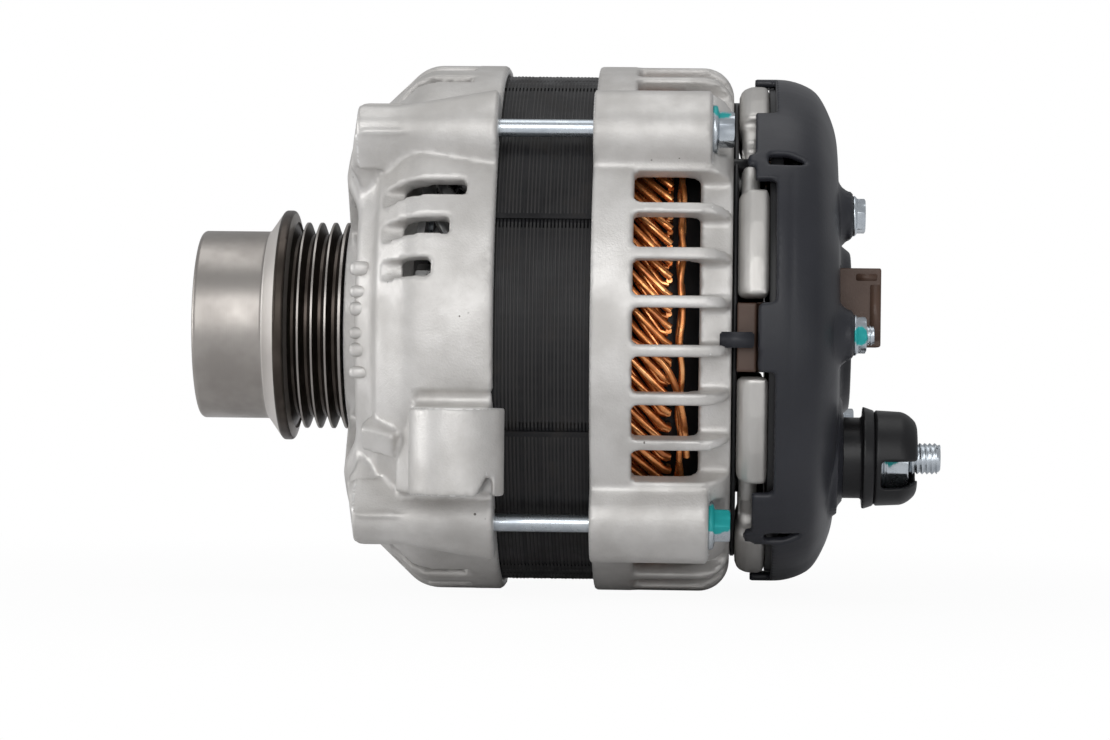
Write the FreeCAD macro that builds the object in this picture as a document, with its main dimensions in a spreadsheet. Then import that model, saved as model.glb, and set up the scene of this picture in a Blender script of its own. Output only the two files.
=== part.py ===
"""Engine alternator with an overrunning pulley, as a parametric document.

Millimetres. The shaft lies along X, from the pulley towards the rear cover, Z is up, and the origin
is on the shaft axis at the middle of the belt grooves. The mounting lug of the near side is at -Y.
Angles round the shaft are turned about +X.
"""
import FreeCAD, Part
import math
import os
import re

import Sketcher
from FreeCAD import Vector

doc = FreeCAD.newDocument("EngineAlternator")
sheet = doc.addObject("Spreadsheet::Sheet", "Sizes")

# Driving dimensions: name, value, what it is
SIZES = (
    # Clearances
    ("seat_gap", 0.05, "radial play of a pressed or located seat"),
    ("running_gap", 0.3, "air between pieces that turn or slide past each other"),
    ("fastener_gap", 0.3, "radial room round a screw or stud"),
    # Pulley
    ("rib_pitch", 3.56, "pitch of the belt ribs"),
    ("groove_count", 4, "number of belt grooves"),
    ("groove_top", 54.4, "diameter over the ridges between the grooves"),
    ("groove_depth", 3.2, "depth of a belt groove"),
    ("groove_floor", 0.7, "width of the flat at the bottom of a groove"),
    ("groove_land", 0.45, "width of the flat on a ridge"),
    ("flange_diameter", 60.6, "diameter of the front flange crest"),
    ("flange_width", 1.6, "width of the front flange crest"),
    ("flange_rise", 2.24, "length of the cone in front of the crest"),
    ("rear_land", 0.4, "plain rim behind the last ridge"),
    ("nose_diameter", 49.4, "diameter of the smooth nose"),
    ("nose_front", -31.4, "front face of the nose"),
    ("nose_back", -13.3, "where the nose meets the flange cone"),
    ("nose_edge", 1.2, "rounding of the front edge of the nose"),
    ("shell_wall", 4.2, "wall of the pulley nose"),
    ("cap_recess", 1.4, "depth of the cap seat in the nose"),
    ("cap_lip", 1.5, "radial width of the cap seat"),
    ("cap_thickness", 1.2, "sheet thickness of the front cap"),
    ("cap_step_inside", 13.17, "radius where the step of the cap ends"),
    ("cap_step_outside", 15.37, "radius where the step of the cap begins"),
    ("hub_diameter", 26.0, "outside diameter of the pulley hub"),
    ("hub_front", -26.5, "front end of the pulley hub"),
    ("hub_socket", 19.0, "bore of the tool socket in the hub"),
    ("roller_diameter", 3.0, "diameter of a clutch roller"),
    ("roller_length", 13.0, "length of a clutch roller"),
    ("roller_count", 14, "number of clutch rollers"),
    ("clutch_front", -25.0, "front end of the clutch sleeve"),
    ("clutch_width", 16.0, "width of the clutch sleeve"),
    ("pulley_bearing_front", -6.5, "front face of the pulley bearing"),
    ("pulley_bearing_width", 12.0, "width of the pulley bearing"),
    ("pulley_ball", 4.6, "ball of the pulley bearing"),
    # Shaft
    ("shaft_diameter", 17.0, "shaft at the bearings"),
    ("shaft_thread", 16.0, "threaded front end of the shaft"),
    ("shaft_front", -20.0, "front end of the shaft"),
    ("thread_back", 4.2, "where the thread ends"),
    ("shoulder_diameter", 23.0, "collar behind the front bearing"),
    ("rotor_seat", 19.0, "shaft at the claw poles"),
    ("slip_seat", 9.0, "rear end of the shaft, under the slip rings"),
    ("shaft_back", 130.0, "rear end of the shaft"),
    ("slinger_diameter", 47.6, "diameter of the slinger disc"),
    ("slinger_thickness", 1.2, "thickness of the slinger disc"),
    ("slinger_sleeve", 24.0, "outside diameter of the slinger sleeve"),
    # Shaft bearings
    ("front_bearing_outside", 47.0, "front bearing, outside diameter"),
    ("front_bearing_width", 14.0, "front bearing, width"),
    ("front_bearing_front", 12.4, "front face of the front bearing"),
    ("front_ball", 8.7, "ball of the front bearing"),
    ("rear_bearing_outside", 35.0, "rear bearing, outside diameter"),
    ("rear_bearing_width", 10.0, "rear bearing, width"),
    ("rear_bearing_front", 95.6, "front face of the rear bearing"),
    ("rear_ball", 4.8, "ball of the rear bearing"),
    ("ball_count", 8, "balls in each bearing"),
    ("race_land", 0.3, "how far a race stays from the pitch circle, in ball diameters"),
    ("cage_depth", 0.14, "half thickness of a cage, in ball diameters"),
    ("cage_width", 1.14, "share of the ball diameter that the cage ring is wide"),
    ("sleeve_wall", 1.5, "wall of the rear bearing sleeve"),
    ("retainer_thickness", 2.0, "thickness of the bearing retainer plate"),
    ("retainer_bore", 36.0, "bore of the bearing retainer plate"),
    ("retainer_screws", 4, "number of retainer screws"),
    ("retainer_screw", 4.0, "retainer screw diameter"),
    ("retainer_head", 3.6, "radius of a retainer screw's head"),
    ("retainer_circle", 52.5, "diameter of the retainer screw circle"),
    # Rotor
    ("pole_diameter", 106.0, "diameter over the claw poles"),
    ("pole_front", 38.6, "front face of the front claw pole"),
    ("pole_disc", 11.0, "thickness of a claw pole disc"),
    ("pole_count", 6, "claws on each pole piece"),
    ("claw_root", 30.0, "width of a claw at its root"),
    ("claw_crown", 0.4, "half width of a claw's crown, as a share of its width"),
    ("claw_inside", 32.8, "radius from which a claw rises"),
    ("claw_tip", 11.0, "width of a claw at its tip"),
    ("claw_depth", 12.0, "thickness of a claw at its root"),
    ("claw_tip_depth", 4.0, "thickness of a claw at its tip"),
    ("pole_core", 54.0, "diameter of the pole core inside the coil"),
    ("coil_diameter", 78.0, "outside diameter of the field coil"),
    ("bobbin_wall", 1.6, "wall of the coil bobbin"),
    ("fan_diameter", 98.0, "diameter of both fans"),
    ("fan_sheet", 1.4, "sheet thickness of the fans"),
    ("front_blade", 8.6, "height of a front fan blade"),
    ("rear_blade", 6.8, "height of a rear fan blade"),
    ("blade_count", 11, "blades of a fan"),
    ("blade_root", 34.0, "inner radius of the blades"),
    ("blade_bow", 2.0, "how far a blade leans sideways at its middle"),
    ("blade_lean", 7.0, "how far a blade leans sideways at its tip"),
    ("blade_tip_gap", 1.0, "how far the tip of a blade stays inside the fan's rim"),
    # Slip rings and brushes
    ("slip_diameter", 14.8, "diameter of the slip rings"),
    ("slip_width", 7.0, "width of a slip ring"),
    ("slip_gap", 2.0, "insulation between the slip rings"),
    ("slip_front", 110.0, "front face of the front slip ring"),
    ("slip_wall", 1.4, "wall of a slip ring"),
    ("brush_width", 5.0, "brush size along the shaft"),
    ("brush_height", 6.4, "brush size across the shaft"),
    ("brush_length", 15.0, "length of a brush"),
    ("brush_play", 0.1, "play of a brush in its holder"),
    ("holder_wall", 1.6, "wall of the brush holder"),
    ("holder_length", 25.0, "length of the brush holder"),
    # Housings
    ("housing_diameter", 137.6, "outside diameter of both housings"),
    ("housing_wall", 4.2, "wall of the housings"),
    ("boss_front", 8.5, "front face of the bearing boss"),
    ("front_face", 9.4, "front face of the front housing"),
    ("front_floor", 4.4, "thickness of the front face"),
    ("front_face_radius", 50.8, "where the front face turns into the shoulder"),
    ("shoulder_back", 28.5, "where the shoulder meets the straight wall"),
    ("hub_wall", 5.0, "wall of the front bearing hub"),
    ("rear_hub_wall", 4.0, "wall of the rear bearing hub"),
    ("front_rim", 49.5, "rim of the front housing"),
    ("rear_rim", 73.3, "rim of the rear housing"),
    ("rear_end", 108.3, "rear face of the rear housing"),
    ("rear_edge", 8.0, "rounding of the rear edge"),
    ("rear_floor_front", 100.2, "inner face of the rear wall"),
    ("rear_floor", 4.2, "thickness of the rear wall"),
    ("rim_edge", 0.8, "edge rounding of the housing rims"),
    ("intake_count", 24, "air windows in the front face"),
    ("intake_inner", 31.0, "inner radius of the front air windows"),
    ("intake_outer", 46.5, "outer radius of the front air windows"),
    ("intake_rib", 3.0, "ribs between the front air windows"),
    ("front_slot", 4.6, "height of a side slot of the front housing"),
    ("front_slot_pitch", 9.0, "angle between the side slots of the front housing"),
    ("front_slot_low", 12.0, "angle of the lowest side slot above the middle"),
    ("side_slot_front", 27.4, "front end of the side slots"),
    ("side_slot_high_back", 42.2, "rear end of the highest side slot"),
    ("side_slot_middle_back", 38.3, "rear end of the middle side slot"),
    ("side_slot_low_back", 34.0, "rear end of the lowest side slot"),
    ("top_slot_front", 24.6, "front end of the slots over the top"),
    ("top_slot_back", 41.4, "rear end of the slots over the top"),
    ("front_recess_radius", 61.6, "floor radius of the slot recesses on the shoulder"),
    ("window_pitch", 10.25, "angle between the rear side windows"),
    ("window_rib", 3.2, "ribs between the rear side windows"),
    ("window_front", 83.7, "front end of the rear side windows"),
    ("window_floor_radius", 62.4, "floor radius of the rear recesses"),
    ("side_windows", 7, "rear windows on each side"),
    ("top_windows", 6, "rear windows over the top and under the bottom"),
    ("outlet_count", 12, "air windows in the rear wall"),
    ("outlet_inner", 27.0, "inner radius of the rear air windows"),
    ("outlet_outer", 49.0, "outer radius of the rear air windows"),
    ("outlet_rib", 5.0, "ribs between the rear air windows"),
    # Stator
    ("stator_diameter", 132.0, "outside diameter of the stator core"),
    ("stator_bore", 106.8, "bore of the stator core"),
    ("stator_front", 43.0, "front face of the stator core"),
    ("stator_back", 79.8, "rear face of the stator core"),
    ("slot_count", 36, "slots of the stator core"),
    ("slot_depth", 8.6, "depth of a slot"),
    ("slot_width", 4.4, "width of a slot"),
    ("liner", 0.25, "slot liner between core and winding"),
    ("weld_count", 8, "weld grooves round the core"),
    ("weld_width", 2.6, "width of a weld groove"),
    ("weld_depth", 0.8, "depth of a weld groove"),
    ("head_inner", 55.0, "inner radius of the winding heads"),
    ("head_outer", 62.2, "outer radius of the winding heads"),
    ("head_rounding", 2.88, "rounding of the winding heads"),
    ("head_front", 30.5, "front end of the front winding heads"),
    ("head_back", 97.0, "rear end of the rear winding heads"),
    # Through bolts
    ("bolt_circle", 140.0, "diameter of the through-bolt circle"),
    ("bolt_diameter", 4.4, "shank of a through bolt"),
    ("front_boss", 4.8, "radius of a bolt boss at its front end"),
    ("rear_boss", 8.35, "radius of a bolt boss at both rims"),
    ("boss_crown", 1.02, "half width of a boss's crown, in boss radii"),
    ("boss_flare", 1.5, "half width of a boss's foot, in boss radii"),
    ("bolt_boss_front", 14.0, "front face of the bolt bosses"),
    ("face_rounding", 6.4, "rounding between the front face and the shoulder"),
    ("arm_width", 11.0, "width of the arms between the front face and the bolt bosses"),
    ("arm_rise", 3.4, "how far an arm stands out past the bolt circle"),
    ("bolt_seat", 103.0, "seat of the bolt heads"),
    ("bolt_head", 5.5, "height of a bolt head with its flange"),
    ("bolt_flange", 12.3, "diameter of the head flange"),
    ("bolt_flange_height", 1.4, "height of the head flange"),
    ("bolt_hex", 8.0, "width across flats of the hexagon"),
    # Mounting lugs
    ("lug_x", 41.5, "shaft-wise place of the lug bore"),
    ("lug_y", 76.0, "distance of the lug bore from the shaft plane"),
    ("lug_top", -20.6, "upper face of the lug"),
    ("lug_bottom", -41.9, "lower face of the lug"),
    ("lug_diameter", 23.3, "outside diameter of the lug"),
    ("lug_bore", 10.3, "bore of the lug"),
    ("lug_rib_reach", 67.0, "how far out the gusset in front of the lug reaches"),
    ("nub_angle", -26.7, "angle of the casting nub above the near side"),
    ("nub_width", 6.7, "height of the casting nub"),
    ("nub_front", 16.3, "front end of the casting nub"),
    ("nub_back", 25.2, "rear end of the casting nub"),
    ("nub_front_radius", 64.0, "radius of the casting nub at its front end"),
    ("nub_back_radius", 68.6, "radius of the casting nub at its rear end"),
    ("lug_web_inside", 45.6, "where the lug's web begins inside the wall, across"),
    ("lug_rib_root", 58.0, "how far out the gusset begins at its front end"),
    ("lug_slant_inside", 59.5, "where the slanted corner of the lug's web begins, across"),
    ("lug_slant_width", 2.7, "width of the slanted corner"),
    ("lug_slant_height", 5.4, "height of the slanted corner"),
    ("lug_seat_inside", 65.0, "milled step over the lug, its distance from the shaft plane"),
    ("lug_seat_height", 4.0, "height of the milled step over the lug"),
    # Rectifier
    ("sink_front", 109.7, "front face of the heat sink blocks"),
    ("sink_back", 117.4, "rear face of the heat sink blocks"),
    ("sink_bevel", 2.2, "width of the bevel on the front edge of the blocks"),
    ("sink_radius", 64.0, "outer radius of the heat sink blocks"),
    ("sink_plate_front", 110.4, "front face of the negative plate"),
    ("sink_plate", 4.6, "thickness of both heat sink plates"),
    ("sink_plate_radius", 60.6, "outer radius of the negative plate"),
    ("block_high_start", 7.0, "angle from the middle to the upper side block"),
    ("block_high_end", 33.2, "angle from the middle to its far end"),
    ("block_low_start", 11.3, "angle from the middle to the lower side block"),
    ("block_low_end", 38.3, "angle from the middle to its far end"),
    ("block_top_start", 6.0, "angle from the top to the top blocks"),
    ("block_top_end", 32.0, "angle from the top to the far end of the top blocks"),
    ("block_room", 1.5, "angle of the gap between a block and the cover"),
    ("sink_bore", 25.0, "bore radius of both heat sinks"),
    ("positive_front", 120.0, "front face of the positive plate"),
    ("positive_radius", 53.0, "outer radius of the positive plate"),
    ("diode_diameter", 12.8, "diameter of a press-fit diode"),
    ("diode_height", 5.6, "height of a diode body"),
    ("diode_circle", 78.0, "diameter of the diode circle"),
    ("terminal_front", 117.6, "front face of the terminal plate"),
    ("terminal_thickness", 1.8, "thickness of the terminal plate"),
    ("terminal_radius", 60.0, "outer radius of the terminal plate"),
    ("lead_diameter", 2.4, "diameter of a phase lead"),
    ("lead_angle", -45, "angle of the first phase lead"),
    ("lead_circle", 116.0, "diameter of the circle of the phase leads"),
    # Regulator and connector
    ("regulator_top", 6.0, "upper face of the regulator"),
    ("regulator_bottom", -11.0, "lower face of the regulator"),
    ("regulator_inside", 55.0, "near end of the regulator body"),
    ("regulator_outside", 62.4, "near end of the regulator foot"),
    ("regulator_foot_back", 114.4, "rear face of the regulator foot"),
    ("regulator_front", 109.6, "front face of the regulator"),
    ("regulator_back", 131.0, "rear face of the regulator"),
    ("regulator_slot", 1.2, "room between regulator and heat sinks"),
    ("connector_back", 146.0, "rear end of the connector"),
    ("connector_top", 15.6, "upper face of the connector"),
    ("connector_bottom", -4.4, "lower face of the connector"),
    ("connector_near", 34.0, "near face of the connector"),
    ("connector_far", 18.0, "far face of the connector"),
    ("connector_wall", 1.8, "wall of the connector"),
    ("connector_depth", 12.0, "depth of the connector socket"),
    ("pin_tip", 3.0, "how far the pins stay inside the socket's mouth"),
    ("pin_width", 1.5, "width of a connector pin"),
    # Rear cover
    ("cover_front", 113.8, "front edge of the rear cover"),
    ("cover_radius", 65.8, "radius of the cover skirt"),
    ("cover_wall", 2.2, "wall of the rear cover"),
    ("cover_back", 136.6, "rear face of the cover dome"),
    ("cover_corner", 17.0, "rounding between skirt and rear face"),
    ("plateau_back", 139.2, "rear face of the middle plateau"),
    ("plateau_radius", 20.5, "radius of the middle plateau"),
    ("hook_upper", 40.2, "angle of the upper cover hook above the near side"),
    ("hook_lower", -54.0, "angle of the lower cover hook above the near side"),
    ("hook_front", 111.6, "front end of the cover hooks"),
    ("hook_back", 117.0, "where the cover hooks meet the skirt"),
    ("hook_width", 3.6, "width of a cover hook"),
    ("hook_slot_middle", 122.0, "where the slot behind a cover hook begins to narrow"),
    ("hook_slot_back", 128.0, "rear tip of the slot behind a cover hook"),
    ("output_flange", 14.8, "radius of the flat round the output terminal"),
    ("stud_front", 102.0, "front end of the cover studs"),
    ("stud_upper_y", 30.0, "upper stud, distance across"),
    ("stud_upper_z", 29.0, "upper stud, height"),
    ("stud_upper_tip", 141.8, "tip of the upper and the far stud"),
    ("stud_middle_y", 46.5, "middle stud, distance across"),
    ("stud_middle_z", 1.5, "middle stud, depth below the shaft"),
    ("stud_middle_tip", 144.0, "tip of the middle stud"),
    ("stud_far_y", 39.7, "far stud, distance across"),
    ("stud_far_z", 25.2, "far stud, depth below the shaft"),
    ("stud_diameter", 5.0, "cover studs"),
    ("nut_hex", 8.0, "width across flats of the cover nuts"),
    ("nut_height", 3.2, "height of a cover nut"),
    ("nut_flange", 10.4, "flange diameter of a cover nut"),
    # Output terminal
    ("output_y", -25.0, "place of the output stud across"),
    ("output_z", -32.7, "place of the output stud in height"),
    ("output_stud", 8.0, "thread of the output stud behind its nut"),
    ("output_shank", 7.2, "diameter of the output stud under its nut"),
    ("output_tip", 162.0, "tip of the output stud"),
    ("barrel_diameter", 20.7, "diameter of the insulator barrel"),
    ("collar_diameter", 26.3, "diameter of the insulator collar"),
    ("collar_front", 142.0, "front face of the insulator collar"),
    ("collar_back", 145.0, "rear face of the insulator collar"),
    ("shroud_back", 155.9, "rear end of the shroud"),
    ("shroud_wall", 2.4, "wall of the shroud"),
    ("shroud_window", 7.5, "height of the opening in the shroud"),
    ("shroud_window_top", 0.75, "upper edge of that opening below the stud's line"),
    ("output_washer", 15.0, "diameter of the output washer"),
    ("output_nut", 13.0, "width across flats of the output nut"),
    ("output_nut_height", 6.5, "height of the output nut"),
)

for row, (alias, amount, note) in enumerate(SIZES, start=1):
    sheet.set(f"A{row}", note)
    sheet.set(f"B{row}", str(amount))
    sheet.setAlias(f"B{row}", alias)
doc.recompute()

SIZE_NAMES = re.compile(r"\b(" + "|".join(size[0] for size in SIZES) + r")\b")


def link(text):
    """The expression with each size name pointing at its cell."""
    return SIZE_NAMES.sub(r"Sizes.\1", text)


def value(text):
    """What an expression of sizes gives now."""
    return float(sheet.evalExpression(link(text)))


# Helpers for sketches

def origin_feature(body, role):
    """A plane or axis of the body's own origin."""
    return next(item for item in body.Origin.OriginFeatures if item.Role == role)


def new_body(label, several=False):
    """A body; several is for one node that holds a set of equal pieces."""
    body = doc.addObject("PartDesign::Body", label)
    body.AllowCompound = several
    return body


def new_sketch(body, name, role="XZ_Plane", offset=None):
    """A sketch on a plane of the body's origin, moved along its normal by offset."""
    sketch = body.newObject("Sketcher::SketchObject", name)
    sketch.AttachmentSupport = [(origin_feature(body, role), "")]
    sketch.MapMode = "FlatFace"
    if offset is not None:
        sketch.setExpression("AttachmentOffset.Base.z", link(offset))
    return sketch


def turn_sketch(sketch, angle):
    """Turns a sketch on its plane, about the sketch origin; angle is an expression."""
    sketch.setExpression("AttachmentOffset.Rotation.Axis.z", "1")
    sketch.setExpression("AttachmentOffset.Rotation.Angle", link(angle))


def pin(sketch, geometry, end, across, up, tag):
    """Ties a point of the sketch to its two expressions, measured from the sketch origin."""
    for axis, kind, text in ((-2, "DistanceX", across), (-1, "DistanceY", up)):
        if text == "0":
            sketch.addConstraint(Sketcher.Constraint("PointOnObject", geometry, end, axis))
            continue
        constraint = Sketcher.Constraint(kind, -1, 1, geometry, end, value(text))
        index = sketch.addConstraint(constraint)
        name = tag + kind[-1].lower()
        sketch.renameConstraint(index, name)
        sketch.setExpression("Constraints." + name, link(text))


def circle(sketch, across, up, radius, tag="ring"):
    """A circle with its centre and radius tied to expressions."""
    centre = Vector(value(across), value(up), 0)
    index = sketch.addGeometry(Part.Circle(centre, Vector(0, 0, 1), value(radius)))
    pin(sketch, index, 3, across, up, tag)
    number = sketch.addConstraint(Sketcher.Constraint("Radius", index, value(radius)))
    sketch.renameConstraint(number, tag + "_radius")
    sketch.setExpression("Constraints." + tag + "_radius", link(radius))


def rounded_corner(before, corner, after, radius):
    """Tangent points and the arc that rounds one corner of an outline."""
    back = (before - corner).normalize()
    ahead = (after - corner).normalize()
    half = back.getAngle(ahead) / 2
    reach = radius / math.tan(half)
    start = corner + back * reach
    finish = corner + ahead * reach
    centre = corner + (back + ahead).normalize() * (radius / math.sin(half))
    first, second = start - centre, finish - centre
    if first.cross(second).z < 0:
        first, second = second, first
    ring = Part.Circle(centre, Vector(0, 0, 1), radius)
    arc = Part.ArcOfCircle(ring, math.atan2(first.y, first.x), math.atan2(second.y, second.x))
    return start, finish, arc


def outline(sketch, corners, tag="p"):
    """A closed outline of straight runs, with an arc at each corner that has a rounding.

    A corner is (across, up) or (across, up, rounding), all three expressions of sizes.
    """
    places = [Vector(value(corner[0]), value(corner[1]), 0) for corner in corners]
    count = len(corners)
    arcs = {}
    for number, corner in enumerate(corners):
        if len(corner) == 3:
            before = places[number - 1]
            after = places[(number + 1) % count]
            arcs[number] = rounded_corner(before, places[number], after, value(corner[2]))
    lines = []
    for number in range(count):
        following = (number + 1) % count
        start = arcs[number][1] if number in arcs else places[number]
        finish = arcs[following][0] if following in arcs else places[following]
        lines.append(sketch.addGeometry(Part.LineSegment(start, finish)))
    for number, corner in enumerate(corners):
        before, after = lines[number - 1], lines[number]
        name = f"{tag}{number}"
        if number not in arcs:
            sketch.addConstraint(Sketcher.Constraint("Coincident", before, 2, after, 1))
            pin(sketch, after, 1, corner[0], corner[1], name)
            continue
        start, finish, arc = arcs[number]
        bend = sketch.addGeometry(arc)
        drawn = sketch.Geometry[bend]
        first = 1 if drawn.StartPoint.distanceToPoint(start) < 1e-6 else 2
        sketch.addConstraint(Sketcher.Constraint("Tangent", before, 2, bend, first))
        sketch.addConstraint(Sketcher.Constraint("Tangent", after, 1, bend, 3 - first))
        point = sketch.addGeometry(Part.Point(places[number]), True)
        sketch.addConstraint(Sketcher.Constraint("PointOnObject", point, 1, before))
        sketch.addConstraint(Sketcher.Constraint("PointOnObject", point, 1, after))
        pin(sketch, point, 1, corner[0], corner[1], name)
        number = sketch.addConstraint(Sketcher.Constraint("Radius", bend, value(corner[2])))
        sketch.renameConstraint(number, name + "_round")
        sketch.setExpression(f"Constraints.{name}_round", link(corner[2]))


# Helpers for features

def turned(body, name, corners, cut=False, role="XZ_Plane", axis="H_Axis", offset=None):
    """An outline turned about the sketch's own axis, added or cut away."""
    sketch = new_sketch(body, name + "_outline", role, offset)
    outline(sketch, corners)
    kind = "PartDesign::Groove" if cut else "PartDesign::Revolution"
    feature = body.newObject(kind, name)
    feature.Refine = False
    feature.Profile = sketch
    feature.ReferenceAxis = (sketch, [axis])
    feature.Angle = 360.0
    return feature


def padded(body, name, sketch, length, reverse=False, both=False):
    """A pad of a sketch; its length is an expression."""
    feature = body.newObject("PartDesign::Pad", name)
    feature.Refine = False
    feature.Profile = sketch
    feature.Reversed = reverse
    feature.Midplane = both
    feature.setExpression("Length", link(length))
    return feature


def pocketed(body, name, sketch, length, reverse=False, both=False):
    """A pocket of a sketch; its length is an expression."""
    feature = body.newObject("PartDesign::Pocket", name)
    feature.Refine = False
    feature.Profile = sketch
    feature.Reversed = reverse
    feature.Midplane = both
    feature.setExpression("Length", link(length))
    return feature


def spread(body, name, originals, count, angle="360"):
    """Copies of features round the shaft; count and angle are expressions."""
    feature = body.newObject("PartDesign::PolarPattern", name)
    feature.Refine = False
    feature.Originals = originals
    feature.Axis = (origin_feature(body, "X_Axis"), [""])
    feature.setExpression("Angle", link(angle))
    feature.setExpression("Occurrences", link(count))
    body.Tip = feature
    return feature


def ring(label, front, back, inner, outer, edge=None):
    """A plain ring or disc about the shaft; inner "0" makes it solid."""
    body = new_body(label)
    top = (outer, edge) if edge else (outer,)
    turned(body, label + "_turned", [
        (front, inner), (front, *top), (back, *top), (back, inner),
    ])
    return body


# Pulley: shell with nose, flange and poly-V grooves, and the overrunning clutch inside

PULLEY_BACK = "(groove_count * rib_pitch / 2 + rear_land)"
PULLEY_BORE = "(nose_diameter / 2 - shell_wall)"


def make_pulley_shell():
    body = new_body("pulley_shell")
    half_track = "groove_count * rib_pitch / 2"
    turned(body, "pulley_blank", [
        ("nose_front + cap_recess", PULLEY_BORE),
        ("nose_front + cap_recess", PULLEY_BORE + " + cap_lip"),
        ("nose_front", PULLEY_BORE + " + cap_lip"),
        ("nose_front", "nose_diameter / 2", "nose_edge"),
        ("nose_back", "nose_diameter / 2", "nose_edge"),
        (f"-({half_track}) - flange_rise", "flange_diameter / 2", "flange_width / 2"),
        (f"-({half_track})", "flange_diameter / 2", "flange_width / 2"),
        (f"-({half_track}) + rib_pitch / 4", "groove_top / 2"),
        (PULLEY_BACK, "groove_top / 2"),
        (PULLEY_BACK, PULLEY_BORE),
    ])
    # One V groove in the middle of its rib, repeated along the shaft
    sketch = new_sketch(body, "belt_groove_outline")
    first = "-(groove_count - 1) * rib_pitch / 2"
    above = "groove_top / 2 + groove_land / 20"
    outline(sketch, [
        (f"{first} - groove_floor / 2", "groove_top / 2 - groove_depth"),
        (f"{first} - (rib_pitch - groove_land) / 2", above),
        (f"{first} + (rib_pitch - groove_land) / 2", above),
        (f"{first} + groove_floor / 2", "groove_top / 2 - groove_depth"),
    ])
    groove = body.newObject("PartDesign::Groove", "belt_groove")
    groove.Profile = sketch
    groove.ReferenceAxis = (sketch, ["H_Axis"])
    groove.Angle = 360.0
    pattern = body.newObject("PartDesign::LinearPattern", "belt_grooves")
    pattern.Originals = [groove]
    pattern.Direction = (origin_feature(body, "X_Axis"), [""])
    pattern.setExpression("Length", link("(groove_count - 1) * rib_pitch"))
    pattern.setExpression("Occurrences", link("groove_count"))
    body.Tip = pattern


SLINGER_FRONT = f"({PULLEY_BACK} + running_gap)"


def make_pulley_hub():
    body = new_body("pulley_hub")
    turned(body, "pulley_hub_turned", [
        ("hub_front", "hub_socket / 2"),
        ("hub_front", "hub_diameter / 2", "nose_edge / 2"),
        (SLINGER_FRONT, "hub_diameter / 2"),
        (SLINGER_FRONT, "shaft_diameter / 2 + seat_gap"),
        ("thread_back - running_gap", "shaft_diameter / 2 + seat_gap"),
        ("thread_back - running_gap", "shaft_thread / 2 + seat_gap"),
        ("shaft_front - running_gap", "shaft_thread / 2 + seat_gap"),
        ("shaft_front - running_gap", "hub_socket / 2"),
    ])


def make_pulley_cap():
    body = new_body("pulley_cap")
    rim = f"({PULLEY_BORE} + cap_lip - seat_gap)"
    back = "(nose_front + cap_recess)"
    turned(body, "pulley_cap_turned", [
        (f"{back} - cap_thickness / 2", "0"),
        (f"{back} - cap_thickness / 2", "cap_step_inside"),
        (f"{back} - cap_thickness", "cap_step_outside"),
        (f"{back} - cap_thickness", rim),
        (back, rim),
        (back, "cap_step_outside"),
        (f"{back} + cap_thickness / 2", "cap_step_inside"),
        (f"{back} + cap_thickness / 2", "0"),
    ])


def make_clutch():
    """The roller clutch: a hardened sleeve in the shell and a cage of rollers on the hub."""
    inner = "hub_diameter / 2 + seat_gap"
    roll_circle = f"{inner} + roller_diameter / 2"
    sleeve_bore = f"{inner} + roller_diameter + running_gap"
    ring("clutch_sleeve", "clutch_front", "clutch_front + clutch_width",
         sleeve_bore, PULLEY_BORE + " - seat_gap")
    body = new_body("clutch_rollers")
    margin = "(clutch_width - roller_length) / 2"
    cage_inner = f"{roll_circle} - roller_diameter / 4"
    cage_outer = f"{roll_circle} + roller_diameter / 4"
    cage_front = f"clutch_front + {margin} / 2"
    cage_back = f"clutch_front + clutch_width - {margin} / 2"
    turned(body, "roller_cage", [
        (cage_front, cage_inner), (cage_front, cage_outer),
        (cage_back, cage_outer), (cage_back, cage_inner),
    ])
    sketch = new_sketch(body, "roller_outline", "YZ_Plane", f"clutch_front + {margin}")
    circle(sketch, "0", roll_circle, "roller_diameter / 2")
    roller = padded(body, "roller", sketch, "roller_length")
    spread(body, "rollers", [roller], "roller_count")


def ball_bearing(name, front, width, inner, outer, ball):
    """A bearing of three nodes: inner race, outer race, and balls in their cage."""
    middle = f"({inner} + {outer}) / 2"
    centre = f"{front} + {width} / 2"
    # Each race stops short of the pitch circle and has a round track
    land = f"{ball} * race_land"
    track = f"{ball} / 2 + seat_gap"
    back = f"{front} + {width}"
    for side, sign, seat in (("inner", "-", inner), ("outer", "+", outer)):
        body = new_body(f"{name}_{side}")
        edge = f"{middle} {sign} {land}"
        turned(body, f"{name}_{side}_ring", [
            (front, seat), (front, edge), (back, edge), (back, seat),
        ])
        sketch = new_sketch(body, f"{name}_{side}_track_outline")
        circle(sketch, centre, middle, track)
        groove = body.newObject("PartDesign::Groove", f"{name}_{side}_track")
        groove.Profile = sketch
        groove.ReferenceAxis = (sketch, ["H_Axis"])
        groove.Angle = 360.0
    body = new_body(f"{name}_balls", several=True)
    half = f"{ball} * cage_width / 2"
    low, high = f"{middle} - {ball} * cage_depth", f"{middle} + {ball} * cage_depth"
    turned(body, f"{name}_cage", [
        (f"{centre} - {half}", low), (f"{centre} - {half}", high),
        (f"{centre} + {half}", high), (f"{centre} + {half}", low),
    ])
    # Pockets of the cage, then the balls in them
    for kind, step, radius in (("Subtractive", "pocket", f"{ball} / 2 + seat_gap"),
                               ("Additive", "ball", f"{ball} / 2")):
        sphere = body.newObject(f"PartDesign::{kind}Sphere", f"{name}_{step}")
        sphere.setExpression("Radius", link(radius))
        sphere.AttachmentSupport = [(origin_feature(body, "XZ_Plane"), "")]
        sphere.MapMode = "FlatFace"
        sphere.setExpression("AttachmentOffset.Base.x", link(centre))
        sphere.setExpression("AttachmentOffset.Base.y", link(middle))
        spread(body, f"{name}_{step}_set", [sphere], "ball_count")


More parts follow.
